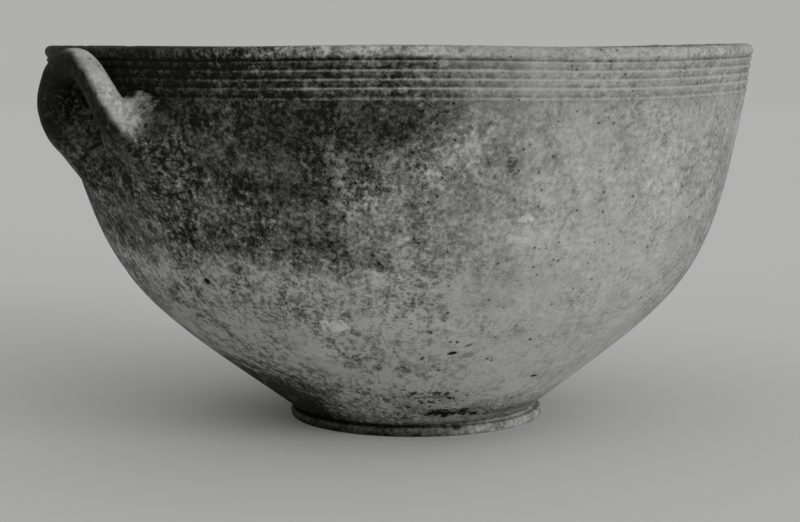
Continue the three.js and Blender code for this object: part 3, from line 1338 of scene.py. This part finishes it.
    def build(
        self,
        body: ThrownBody,
        side: Side,
        lean: Lean,
        cover: SlipAndPaintedLight,
        loop_finish: Finish,
        root_finish: Finish,
    ) -> list[Piece]:
        """Shape one handle, tell its roots apart from its loop and dress the three pieces.

        Args:
            body: the bowl that carries it.
            side: the side it stands on.
            lean: the pot's lean.
            cover: where the slip has stayed on, with the painted shade and painted bounce light.
            loop_finish: finish of the loop.
            root_finish: finish of the roots.

        Returns:
            The loop and the two roots.
        """
        label = side.name.lower()
        places = ("front", "back") if side is Side.LEFT else ("back", "front")
        skin = self.blended(body)
        self.dress(skin, body, side, lean, cover)
        planes = self.cut_planes(body)
        loop = self.whole_loop(skin, planes)
        parts = [(loop, f"{label}_loop", f"{label}_handle", Slot.HANDLE, loop_finish)]
        for sign, plane, place in zip((1, -1), planes, places):
            root = self.parted(skin, sign, plane, root=True)
            parts.append((root, f"{label}_{place}_root", f"{label}_{place}_wad", Slot.WAD, root_finish))
        skin.free()
        turn = Matrix.Rotation(side.value, 4, "Z")
        pieces = []
        for part, name, node, slot, finish in parts:
            self.close(part)
            bmesh.ops.transform(part, matrix=turn, verts=part.verts)
            lean.apply(part)
            pieces.append(Wright.piece(part, name, node, slot, finish))
        return pieces


@dataclass(frozen=True)
class Grain:
    """A cloudy pattern.

    Args:
        scale: clouds in a metre.
        detail: layers of finer clouds in them.
        roughness: how strong each finer layer is.
    """

    scale: float
    detail: float = 3.0
    roughness: float = 0.55


@dataclass(frozen=True)
class Dots:
    """Scattered small dots.

    Args:
        scale: cells in a metre.
        share: share of the cells that hold a dot.
        size: a dot's radius, in cells.
        core: part of the radius within which it is full.
    """

    scale: float
    share: float
    size: float
    core: float = 0.45


@dataclass(frozen=True)
class Ramp:
    """A smooth change from start to end, as a value goes from low to high."""

    low: float
    high: float
    start: float = 0.0
    end: float = 1.0


class NodeBench:
    """Short calls for laying out a material's nodes."""

    def __init__(self, tree: bpy.types.NodeTree) -> None:
        """Start on an emptied node tree."""
        self.tree = tree
        tree.nodes.clear()

    def add(self, kind: str, **settings: object) -> bpy.types.Node:
        """Add a node.

        Args:
            kind: Blender's name for the kind of node.
            **settings: properties to set on it.

        Returns:
            The node.
        """
        node = self.tree.nodes.new(kind)
        for name, value in settings.items():
            setattr(node, name, value)
        return node

    def feed(self, socket: Socket, value: object) -> None:
        """Link a socket to another, or set its value.

        Args:
            socket: an input.
            value: an output to link it to, or a plain value.
        """
        if isinstance(value, Socket):
            self.tree.links.new(value, socket)
        else:
            socket.default_value = value

    def math(self, operation: str, first: Number, second: Number = 0.0, clamped: bool = False) -> Socket:
        """Work out one sum on two numbers.

        Args:
            operation: Blender's name for the sum.
            first: the first number.
            second: the second number.
            clamped: whether to keep the result between 0 and 1.

        Returns:
            The result.
        """
        node = self.add("ShaderNodeMath", operation=operation, use_clamp=clamped)
        self.feed(node.inputs[0], first)
        self.feed(node.inputs[1], second)
        return node.outputs[0]

    def product(self, first: Number, second: Number) -> Socket:
        """Multiply two numbers."""
        return self.math("MULTIPLY", first, second)

    def rise(self, value: Number, ramp: Ramp) -> Socket:
        """Change smoothly with a value.

        Args:
            value: the value.
            ramp: how the result changes with it.

        Returns:
            The result.
        """
        node = self.add("ShaderNodeMapRange", interpolation_type="SMOOTHSTEP")
        self.feed(node.inputs["Value"], value)
        node.inputs["From Min"].default_value = ramp.low
        node.inputs["From Max"].default_value = ramp.high
        node.inputs["To Min"].default_value = ramp.start
        node.inputs["To Max"].default_value = ramp.end
        return node.outputs[0]

    def grain(self, place: Socket, grain: Grain) -> Socket:
        """Lay out a cloudy pattern.

        Args:
            place: coordinates.
            grain: the pattern.

        Returns:
            A cloudy number about 0.5.
        """
        node = self.add("ShaderNodeTexNoise", noise_dimensions="3D")
        self.feed(node.inputs["Vector"], place)
        node.inputs["Scale"].default_value = grain.scale
        node.inputs["Detail"].default_value = grain.detail
        node.inputs["Roughness"].default_value = grain.roughness
        return node.outputs[0]

    def dots(self, place: Socket, dots: Dots) -> Socket:
        """Scatter small dots.

        Args:
            place: coordinates.
            dots: how many, and how large.

        Returns:
            1 in a dot and 0 elsewhere.
        """
        node = self.add("ShaderNodeTexVoronoi", feature="F1", voronoi_dimensions="3D")
        self.feed(node.inputs["Vector"], place)
        node.inputs["Scale"].default_value = dots.scale
        split = self.add("ShaderNodeSeparateColor")
        self.feed(split.inputs[0], node.outputs["Color"])
        chosen = self.math("LESS_THAN", split.outputs[0], dots.share)
        inside = self.rise(node.outputs["Distance"], Ramp(dots.size, dots.core * dots.size))
        return self.product(chosen, inside)

    def field(self, name: Field) -> Socket:
        """Give one of the mesh's own fields."""
        return self.add("ShaderNodeAttribute", attribute_name=name.value).outputs["Fac"]

    def mixed(self, share: Number, first: object, second: object) -> Socket:
        """Mix two colours.

        Args:
            share: share of the second colour.
            first: a colour.
            second: another colour.

        Returns:
            The mixed colour.
        """
        node = self.add("ShaderNodeMix", data_type="RGBA", clamp_factor=True)
        self.feed(node.inputs[0], share)
        self.feed(node.inputs[6], first)
        self.feed(node.inputs[7], second)
        return node.outputs[2]

    def scale(self, value: Number, tones: Sequence[tuple[float, Tone]]) -> Socket:
        """Find a colour on a scale of tones.

        Args:
            value: place on the scale, from 0 to 1.
            tones: places and tones, from 0 to 1.

        Returns:
            The colour there.
        """
        node = self.add("ShaderNodeValToRGB")
        self.feed(node.inputs[0], value)
        stops = node.color_ramp.elements
        stops[0].color, stops[1].color = tones[0][1], tones[-1][1]
        for place, tone in tones[1:-1]:
            stops.new(place).color = tone
        return node.outputs[0]

    def total(self, *terms: tuple[Number, float]) -> Socket:
        """Add up swings about 0.

        Args:
            *terms: numbers about 0.5, each with the width of its swing.

        Returns:
            Their sum.
        """
        result: Number = 0.0
        for value, width in terms:
            result = self.math("ADD", result, self.product(self.math("SUBTRACT", value, 0.5), width))
        return result


@dataclass(frozen=True)
class Mark:
    """A single mark on the surface.

    Args:
        centre: its middle, in millimetres.
        size: half its length, breadth and depth.
        turn: turn of its length out of the level, in degrees; it falls to the right where this is positive.
        kind: what it is.
        ragged: how uneven its edge is.
        strength: how fully it shows.
        gone: how much of it has flaked off: 0 for a whole patch, 1 for a few flakes.
    """

    centre: Triple
    size: Triple
    turn: float = 0.0
    kind: MarkKind = MarkKind.DARK
    ragged: float = 1.0
    strength: float = 1.0
    gone: float = 0.0

    def bearing(self) -> float:
        """Give the direction in which the mark faces, out from the pot's axis."""
        return math.atan2(self.centre[1], self.centre[0])


@dataclass(frozen=True)
class Patterns:
    """The patterns of one finish, laid out: coordinates, clouds, chips, flakes and brushed streaks."""

    place: Socket
    cloud: Socket
    chip: Socket
    flake: Socket
    brushed: Socket


@dataclass(frozen=True)
class WornSlip:
    """Dark slip worn off pale clay: mottled, flaked and speckled.

    Args:
        name: name of the finish.
        marks: single marks on the surface.
        tones: tones from bare clay at 0, over thin and worn slip, to whole slip at 1.
        crust: tone of the pale crust in its patches.
        cloud: large clouds of wear.
        chip: chips of a few millimetres.
        flake: small flakes.
        brushed: streaks left by the turning.
        streak: how far these are drawn out level.
        swings: how far cloud, chip, flake and brushed change the cover.
        drift: slow change of the wear's unevenness over the pot.
        drifting: unevenness that it gives.
        thick_calm: unevenness left on thick slip.
        chipped: how much slip a chip takes.
        chippable: how much slip there has to be for that.
        dirt: how much dirt a hollow holds, by its cover.
        rubbed: how far a crest is rubbed, by its swing.
        rubbed_cover: cover on a rubbed crest.
        pepper: small dark dots.
        peppered: how strong they are, by the clouds.
        salt: small pale dots.
        salted: how strong they are.
        ragged_swings: how far chip and flake change a mark's edge.
        mark_edge: distance from a mark's middle at which it begins and is full.
        dullness: roughness, by the cover.
        shine: strength of its reflections.
        slip_relief: how far the slip stands up.
        relief_strength: strength of the relief.
        relief_depth: depth of the relief, in metres.
    """

    name: str
    marks: tuple[Mark, ...] = ()
    tones: tuple[tuple[float, Tone], ...] = (
        (0.0, (0.46, 0.465, 0.442, 1.0)),
        (0.2, (0.335, 0.338, 0.318, 1.0)),
        (0.4, (0.2, 0.2, 0.184, 1.0)),
        (0.6, (0.103, 0.103, 0.091, 1.0)),
        (0.8, (0.042, 0.042, 0.035, 1.0)),
        (1.0, (0.007, 0.007, 0.0055, 1.0)),
    )
    crust: Tone = (0.72, 0.725, 0.7, 1.0)
    cloud: Grain = Grain(66.0, 5.6, 0.95)
    chip: Grain = Grain(230.0, 3.0, 0.6)
    flake: Grain = Grain(520.0, 3.0, 0.7)
    brushed: Grain = Grain(150.0, 4.0, 0.7)
    streak: Triple = (1.0, 1.0, 2.6)
    swings: tuple[float, float, float, float] = (2.4, 0.8, 1.7, 0.5)
    drift: Grain = Grain(34.0, 2.0)
    drifting: Ramp = Ramp(0.38, 0.64, 0.78, 1.25)
    thick_calm: Ramp = Ramp(0.68, 0.95, 1.0, 0.72)
    chipped: Ramp = Ramp(0.57, 0.68, 0.0, 0.22)
    chippable: Ramp = Ramp(0.35, 0.7)
    dirt: Ramp = Ramp(0.1, 0.7, 0.09, 0.16)
    rubbed: Ramp = Ramp(-0.35, 0.25, 0.85, 0.55)
    rubbed_cover: float = 0.12
    pepper: Dots = Dots(430.0, 0.3, 0.32)
    peppered: Ramp = Ramp(0.44, 0.57, 0.0, 0.4)
    salt: Dots = Dots(390.0, 0.014, 0.24)
    salted: float = 0.6
    ragged_swings: Span = (0.9, 3.0)
    mark_edge: Span = (1.2, 0.55)
    dullness: Ramp = Ramp(0.2, 1.0, 0.9, 0.65)
    shine: float = 0.1
    slip_relief: float = 0.5
    relief_strength: float = 0.35
    relief_depth: float = 0.0006

    def patterns(self, bench: NodeBench) -> Patterns:
        """Lay out the patterns on the piece's own coordinates.

        Args:
            bench: the material's nodes.

        Returns:
            The patterns.
        """
        place = bench.add("ShaderNodeTexCoord").outputs["Object"]
        level = bench.add("ShaderNodeMapping")
        bench.feed(level.inputs["Vector"], place)
        level.inputs["Scale"].default_value = self.streak
        cloud, chip, flake = (bench.grain(place, grain) for grain in (self.cloud, self.chip, self.flake))
        return Patterns(place, cloud, chip, flake, bench.grain(level.outputs[0], self.brushed))

    def worn(self, bench: NodeBench, seen: Patterns) -> Socket:
        """Wear the slip: unevenly all over, chipped, rubbed off the crests, with dirt and dark dots.

        Args:
            bench: the material's nodes.
            seen: the patterns.

        Returns:
            The cover, from 0 to 1.
        """
        parts = (seen.cloud, seen.chip, seen.flake, seen.brushed)
        whole = bench.field(Field.SLIP)
        lively = bench.product(bench.field(Field.UNREST), bench.rise(whole, self.thick_calm))
        lively = bench.product(lively, bench.rise(bench.grain(seen.place, self.drift), self.drifting))
        swing = bench.product(bench.total(*zip(parts, self.swings)), lively)
        cover = bench.math("ADD", whole, swing)
        bared = bench.product(bench.rise(seen.chip, self.chipped), bench.rise(cover, self.chippable))
        cover = bench.math("SUBTRACT", cover, bared)
        dirt = bench.product(bench.field(Field.HOLLOW), bench.rise(cover, self.dirt))
        cover = bench.math("ADD", cover, dirt)
        rubbed = bench.product(bench.field(Field.CREST), bench.rise(swing, self.rubbed))
        spare = bench.math("SUBTRACT", cover, self.rubbed_cover)
        cover = bench.math("SUBTRACT", cover, bench.product(rubbed, spare))
        pepper = bench.product(bench.dots(seen.place, self.pepper), bench.rise(seen.cloud, self.peppered))
        return bench.math("ADD", bench.math("MAXIMUM", cover, 0.0), pepper, clamped=True)

    def marked(self, bench: NodeBench, seen: Patterns, colour: Socket) -> Socket:
        """Put the single marks on the colour.

        Args:
            bench: the material's nodes.
            seen: the patterns.
            colour: the colour without them.

        Returns:
            The colour with them.
        """
        tones = {MarkKind.DARK: self.tones[-1][1], MarkKind.PALE: self.crust}
        ragged = bench.total(*zip((seen.chip, seen.flake), self.ragged_swings))
        start, full = self.mark_edge
        for mark in self.marks:
            length, breadth, depth = (MILLIMETRE * part for part in mark.size)
            centred = bench.add("ShaderNodeMapping", vector_type="TEXTURE")
            bench.feed(centred.inputs["Vector"], seen.place)
            centred.inputs["Location"].default_value = [MILLIMETRE * part for part in mark.centre]
            turn = (0.0, math.radians(mark.turn), mark.bearing() + QUARTER_TURN)
            centred.inputs["Rotation"].default_value = turn
            centred.inputs["Scale"].default_value = (length, depth, breadth)
            far = bench.add("ShaderNodeVectorMath", operation="LENGTH")
            bench.feed(far.inputs[0], centred.outputs[0])
            reach = bench.math("ADD", far.outputs["Value"], bench.product(ragged, mark.ragged))
            shown = bench.rise(reach, Ramp(start - mark.gone, full - mark.gone, 0.0, mark.strength))
            colour = bench.mixed(shown, colour, tones[mark.kind])
        return colour

    def material(self) -> Finish:
        """Lay out the finish.

        Returns:
            The material.
        """
        material = bpy.data.materials.new(self.name)
        material.use_nodes = True
        bench = NodeBench(material.node_tree)
        seen = self.patterns(bench)
        cover = self.worn(bench, seen)
        salt = bench.product(bench.dots(seen.place, self.salt), self.salted)
        colour = bench.mixed(salt, bench.scale(cover, self.tones), self.tones[1][1])
        shader = bench.add("ShaderNodeBsdfPrincipled")
        bench.feed(shader.inputs["Base Color"], self.marked(bench, seen, colour))
        bench.feed(shader.inputs["Roughness"], bench.rise(cover, self.dullness))
        shader.inputs["Specular IOR Level"].default_value = self.shine
        raised = bench.math("ADD", bench.product(cover, self.slip_relief), bench.total((seen.flake, 1.0)))
        bump = bench.add("ShaderNodeBump")
        bump.inputs["Strength"].default_value = self.relief_strength
        bump.inputs["Distance"].default_value = self.relief_depth
        bench.feed(bump.inputs["Height"], raised)
        bench.feed(shader.inputs["Normal"], bump.outputs[0])
        output = bench.add("ShaderNodeOutputMaterial")
        bench.feed(output.inputs["Surface"], shader.outputs[0])
        return material


@dataclass
class Studio:
    """A plain pale floor, soft light from the front right and the camera.

    Args:
        bearing: camera's direction from the pot, in degrees from -Y towards +X.
        distance: camera's level distance from the lip's centre, in metres.
        eye: camera's height, in metres.
        pitch: downward tilt of the camera, in degrees.
        roll: turn of the camera about its own line of sight, in degrees.
        lens: focal length on a frame of the sensor's width.
        sensor: width of that frame, in millimetres.
        nearest: how close to the camera things are still seen, in metres.
        floor_radius: radius of the floor, in metres.
        floor_facets: facets round it.
        floor_tone: tone of the floor.
        floor_roughness: its roughness.
        floor_shine: strength of its reflections.
        backdrop_tone: tone of the backdrop that the camera sees.
        sky_tone: light from all round.
        key_bearing: lamp's direction, in degrees from the camera towards the image's right.
        key_height: its height, in degrees.
        key_spread: how large and soft it is, in degrees.
        key_power: its strength.
    """

    bearing: float = -38.0
    distance: float = 0.793
    eye: float = 0.1603
    pitch: float = 6.742
    roll: float = 0.3
    lens: float = 82.35
    sensor: float = 36.0
    nearest: float = 0.01
    floor_radius: float = 4.0
    floor_facets: int = 96
    floor_tone: Tone = (0.695, 0.7, 0.69, 1.0)
    floor_roughness: float = 0.95
    floor_shine: float = 0.1
    backdrop_tone: Tone = (0.435, 0.44, 0.43, 1.0)
    sky_tone: Tone = (0.52, 0.52, 0.52, 1.0)
    key_bearing: float = 52.0
    key_height: float = 5.0
    key_spread: float = 50.0
    key_power: float = 2.5

    def axes(self) -> tuple[Vector, Vector]:
        """Find the camera's level directions.

        Returns:
            The directions to the image's right and back to the camera.
        """
        angle = math.radians(self.bearing)
        right = Vector((math.cos(angle), math.sin(angle), 0.0))
        return right, Vector((math.sin(angle), -math.cos(angle), 0.0))

    def build_floor(self) -> None:
        """Lay the plain pale floor."""
        bm = bmesh.new()
        bmesh.ops.create_circle(bm, cap_ends=True, segments=self.floor_facets, radius=self.floor_radius)
        mesh = bpy.data.meshes.new("floor")
        bm.to_mesh(mesh)
        bm.free()
        material = bpy.data.materials.new("pale_floor")
        material.use_nodes = True
        shader = material.node_tree.nodes["Principled BSDF"]
        shader.inputs["Base Color"].default_value = self.floor_tone
        shader.inputs["Roughness"].default_value = self.floor_roughness
        shader.inputs["Specular IOR Level"].default_value = self.floor_shine
        mesh.materials.append(material)
        floor = bpy.data.objects.new("floor", mesh)
        bpy.context.scene.collection.objects.link(floor)

    def build_sky(self) -> None:
        """Set the soft light from all round, and the plain backdrop that the camera sees."""
        world = bpy.data.worlds.new("studio")
        world.use_nodes = True
        bpy.context.scene.world = world
        bench = NodeBench(world.node_tree)
        light = bench.add("ShaderNodeBackground")
        light.inputs["Color"].default_value = self.sky_tone
        backdrop = bench.add("ShaderNodeBackground")
        backdrop.inputs["Color"].default_value = self.backdrop_tone
        path = bench.add("ShaderNodeLightPath")
        direct = bench.math("MAXIMUM", path.outputs["Is Camera Ray"], path.outputs["Is Glossy Ray"])
        direct = bench.math("MAXIMUM", direct, path.outputs["Is Transmission Ray"])
        mix = bench.add("ShaderNodeMixShader")
        bench.feed(mix.inputs[0], direct)
        bench.feed(mix.inputs[1], light.outputs[0])
        bench.feed(mix.inputs[2], backdrop.outputs[0])
        output = bench.add("ShaderNodeOutputWorld")
        bench.feed(output.inputs["Surface"], mix.outputs[0])

    def build_key(self) -> None:
        """Hang the large soft lamp at the front right."""
        right, back = self.axes()
        turn, lift = math.radians(self.key_bearing), math.radians(self.key_height)
        level = right * math.sin(turn) + back * math.cos(turn)
        way = level * math.cos(lift) + Vector((0.0, 0.0, math.sin(lift)))
        lamp = bpy.data.lights.new("key", "SUN")
        lamp.angle = math.radians(self.key_spread)
        lamp.energy = self.key_power
        key = bpy.data.objects.new("key", lamp)
        key.matrix_world = way.to_track_quat("Z", "Y").to_matrix().to_4x4()
        bpy.context.scene.collection.objects.link(key)

    def build_camera(self) -> None:
        """Stand the camera level with the lip."""
        right, back = self.axes()
        pitch, roll = math.radians(self.pitch), math.radians(self.roll)
        forward = -back * math.cos(pitch) - Vector((0.0, 0.0, math.sin(pitch)))
        up = right.cross(forward)
        across = right * math.cos(roll) - up * math.sin(roll)
        upward = right * math.sin(roll) + up * math.cos(roll)
        data = bpy.data.cameras.new("camera")
        data.sensor_fit = "HORIZONTAL"
        data.sensor_width = self.sensor
        data.lens = self.lens
        data.clip_start = self.nearest
        camera = bpy.data.objects.new("camera", data)
        placed = Matrix.Identity(4)
        for column, axis in enumerate((across, upward, -forward)):
            placed.col[column][:3] = axis
        placed.translation = back * self.distance + Vector((0.0, 0.0, self.eye))
        camera.matrix_world = placed
        bpy.context.scene.collection.objects.link(camera)
        bpy.context.scene.camera = camera

    def build(self) -> None:
        """Set up the whole studio."""
        self.build_camera()
        self.build_floor()
        self.build_sky()
        self.build_key()
        bpy.context.scene.view_settings.view_transform = "Standard"


# Small flecks of slip above the foot and dark spots on the wall: middle and half the length, in millimetres.
FLECKS = (
    ((-42.0, -63.0, 22.5), 1.7),
    ((-41.8, -59.6, 20.4), 1.3),
    ((-35.9, -59.7, 17.7), 1.7),
    ((-32.0, -62.0, 17.6), 1.9),
    ((-34.1, -67.0, 21.8), 1.7),
    ((-30.9, -69.4, 22.1), 1.0),
    ((-26.9, -67.2, 19.3), 1.4),
    ((-38.1, -53.5, 15.0), 1.4),
    ((-22.0, -71.2, 20.6), 0.9),
    ((26.5, -57.5, 9.0), 1.6),
    ((-47.3, -95.8, 47.8), 0.7),
    ((-49.9, -94.5, 48.0), 0.7),
    ((-53.6, -81.9, 40.2), 1.0),
    ((-43.5, -79.9, 34.1), 0.7),
    ((-19.0, -105.6, 47.2), 0.8),
    ((-59.5, -94.2, 52.6), 1.2),
    ((-12.4, -138.8, 105.7), 0.8),
    ((-29.9, -92.6, 39.0), 0.55),
    ((-28.4, -93.4, 39.4), 0.55),
    ((-27.5, -93.0, 38.0), 0.55),
)
FLECK_BREADTHS = (0.5, 0.7, 0.9)
FLECK_TURNS = (-50.0, -22.0, 6.0, 34.0)
FLECK_DEPTH = 2.5


def fleck(index: int, place: Triple, half_length: float) -> Mark:
    """Make one of the small flecks, no two alike in a row.

    Args:
        index: its number.
        place: its middle, in millimetres.
        half_length: half its length.

    Returns:
        The mark.
    """
    breadth = FLECK_BREADTHS[index % len(FLECK_BREADTHS)] * half_length
    turn = FLECK_TURNS[index % len(FLECK_TURNS)]
    return Mark(place, (half_length, breadth, FLECK_DEPTH), turn, ragged=1.9, strength=0.85)


# Painted shade, over slip left dark, beside the front root of the left handle.
ROOT_PAINTED_SHADE = Mark((-140.5, -37.2, 133.5), (5.0, 8.0, 7.0), ragged=1.2, strength=0.6)
WALL_MARKS = (
    ROOT_PAINTED_SHADE,
    *(fleck(index, place, half_length) for index, (place, half_length) in enumerate(FLECKS)),
    # Slip left in larger patches above the foot.
    Mark((-35.6, -63.6, 19.8), (14.0, 6.0, 6.0), -4.0, ragged=2.6, strength=0.7, gone=0.4),
    Mark((-17.0, -60.0, 11.2), (18.0, 4.0, 6.0), 2.0, ragged=2.4, strength=0.8, gone=0.4),
    Mark((-25.6, -56.5, 11.5), (5.2, 2.4, 4.0), -6.0),
    Mark((-20.5, -58.2, 10.9), (4.6, 1.3, 4.0)),
    Mark((-15.4, -61.0, 11.5), (2.3, 2.1, 4.0)),
    Mark((-21.3, -55.8, 9.6), (1.9, 2.0, 4.0), ragged=0.8),
    Mark((-9.0, -60.4, 9.4), (3.2, 1.1, 4.0), ragged=1.4),
    Mark((10.0, -61.0, 9.3), (16.0, 1.6, 9.0), ragged=2.6, strength=0.6),
    # Pits, scratches and dark spots, and a painted shadow line along the front root's right edge.
    Mark((-118.6, -31.7, 70.8), (1.7, 1.5, 2.0), 30.0, ragged=0.4),
    Mark((1.9, -84.9, 27.6), (2.3, 0.8, 2.0), 8.0, ragged=0.6),
    Mark((-45.3, -90.4, 42.5), (2.3, 1.0, 2.0), -10.0, ragged=0.5),
    Mark((-39.1, -92.0, 41.3), (3.4, 1.7, 3.0), -14.0, ragged=0.9, strength=0.4),
    Mark((-42.2, -96.5, 46.1), (1.9, 0.6, 2.0), -25.0, ragged=0.6, strength=0.7),
    Mark((-51.4, -113.8, 69.9), (17.0, 8.0, 9.0), -8.0, ragged=2.2, strength=0.2),
    Mark((-109.5, -86.5, 113.0), (10.0, 15.0, 9.0), ragged=1.6, strength=0.4),
    Mark((-138.2, -37.4, 116.0), (4.0, 0.8, 3.0), -32.0, ragged=0.7, strength=0.8),
    # Painted shadow line along the lower right edge of the left handle's front root, as the camera sees it.
    Mark((-136.7, -42.5, 128.4), (7.0, 1.0, 3.0), 42.0, strength=0.5),
    Mark((-110.5, -67.0, 82.2), (2.0, 1.9, 3.0), ragged=0.6, strength=0.75),
    Mark((-92.7, -100.7, 102.0), (0.6, 3.2, 3.0), 12.0, ragged=0.5, strength=0.6),
    Mark((-51.5, -131.6, 116.0), (2.2, 3.0, 3.0), ragged=1.9, strength=0.7),
    # Patches of pale crust.
    Mark((-77.5, -117.4, 114.7), (5.0, 1.2, 2.0), 18.0, MarkKind.PALE, 1.2, 0.22),
    Mark((-86.4, -71.7, 54.9), (5.6, 2.8, 4.0), 0.0, MarkKind.PALE, 1.3, 0.7),
    Mark((-81.3, -56.6, 42.5), (8.0, 4.5, 6.0), 0.0, MarkKind.PALE, 1.6, 0.25),
    Mark((-43.2, -129.4, 96.9), (2.8, 1.6, 3.0), 0.0, MarkKind.PALE, 0.9, 0.35),
)
# The painted shade again, over slip left dark, where it runs onto the root, and a crack at the back root.
ROOT_MARKS = (ROOT_PAINTED_SHADE, Mark((-140.7, 9.0, 121.5), (5.0, 0.9, 6.0), -29.0, ragged=0.5))
# Slip left on the foot's flange.
FOOT_MARKS = (
    Mark((-13.8, -55.1, 3.8), (2.2, 1.3, 4.0), strength=0.9),
    Mark((-18.1, -52.5, 4.0), (1.2, 0.9, 3.0), ragged=0.8, strength=0.8),
    Mark((30.5, -50.3, 6.0), (2.2, 1.6, 3.0), ragged=0.8, strength=0.9),
    Mark((41.0, -42.0, 5.4), (2.0, 1.2, 3.0), ragged=0.8, strength=0.9),
)


def main() -> None:
    """Build the pot and its studio in order, and report each piece."""
    logging.basicConfig(level=logging.INFO, format="%(name)s: %(message)s")
    lean = Lean()
    cover = SlipAndPaintedLight()
    body = ThrownBody()
    Studio().build()
    wall_finish = WornSlip("worn_slip_wall", WALL_MARKS).material()
    foot_finish = WornSlip("worn_slip_foot", FOOT_MARKS).material()
    loop_finish = WornSlip("worn_slip_loop").material()
    root_finish = WornSlip("worn_slip_root", ROOT_MARKS).material()
    pieces = [body.build(lean, cover, wall_finish), RingFoot().build(lean, cover, foot_finish)]
    for side in Side:
        pieces += LoopHandle().build(body, side, lean, cover, loop_finish, root_finish)
    for piece in pieces:
        LOG.info("%s: %d faces", piece.name, len(piece.data.polygons))


if __name__ == "__main__":
    main()
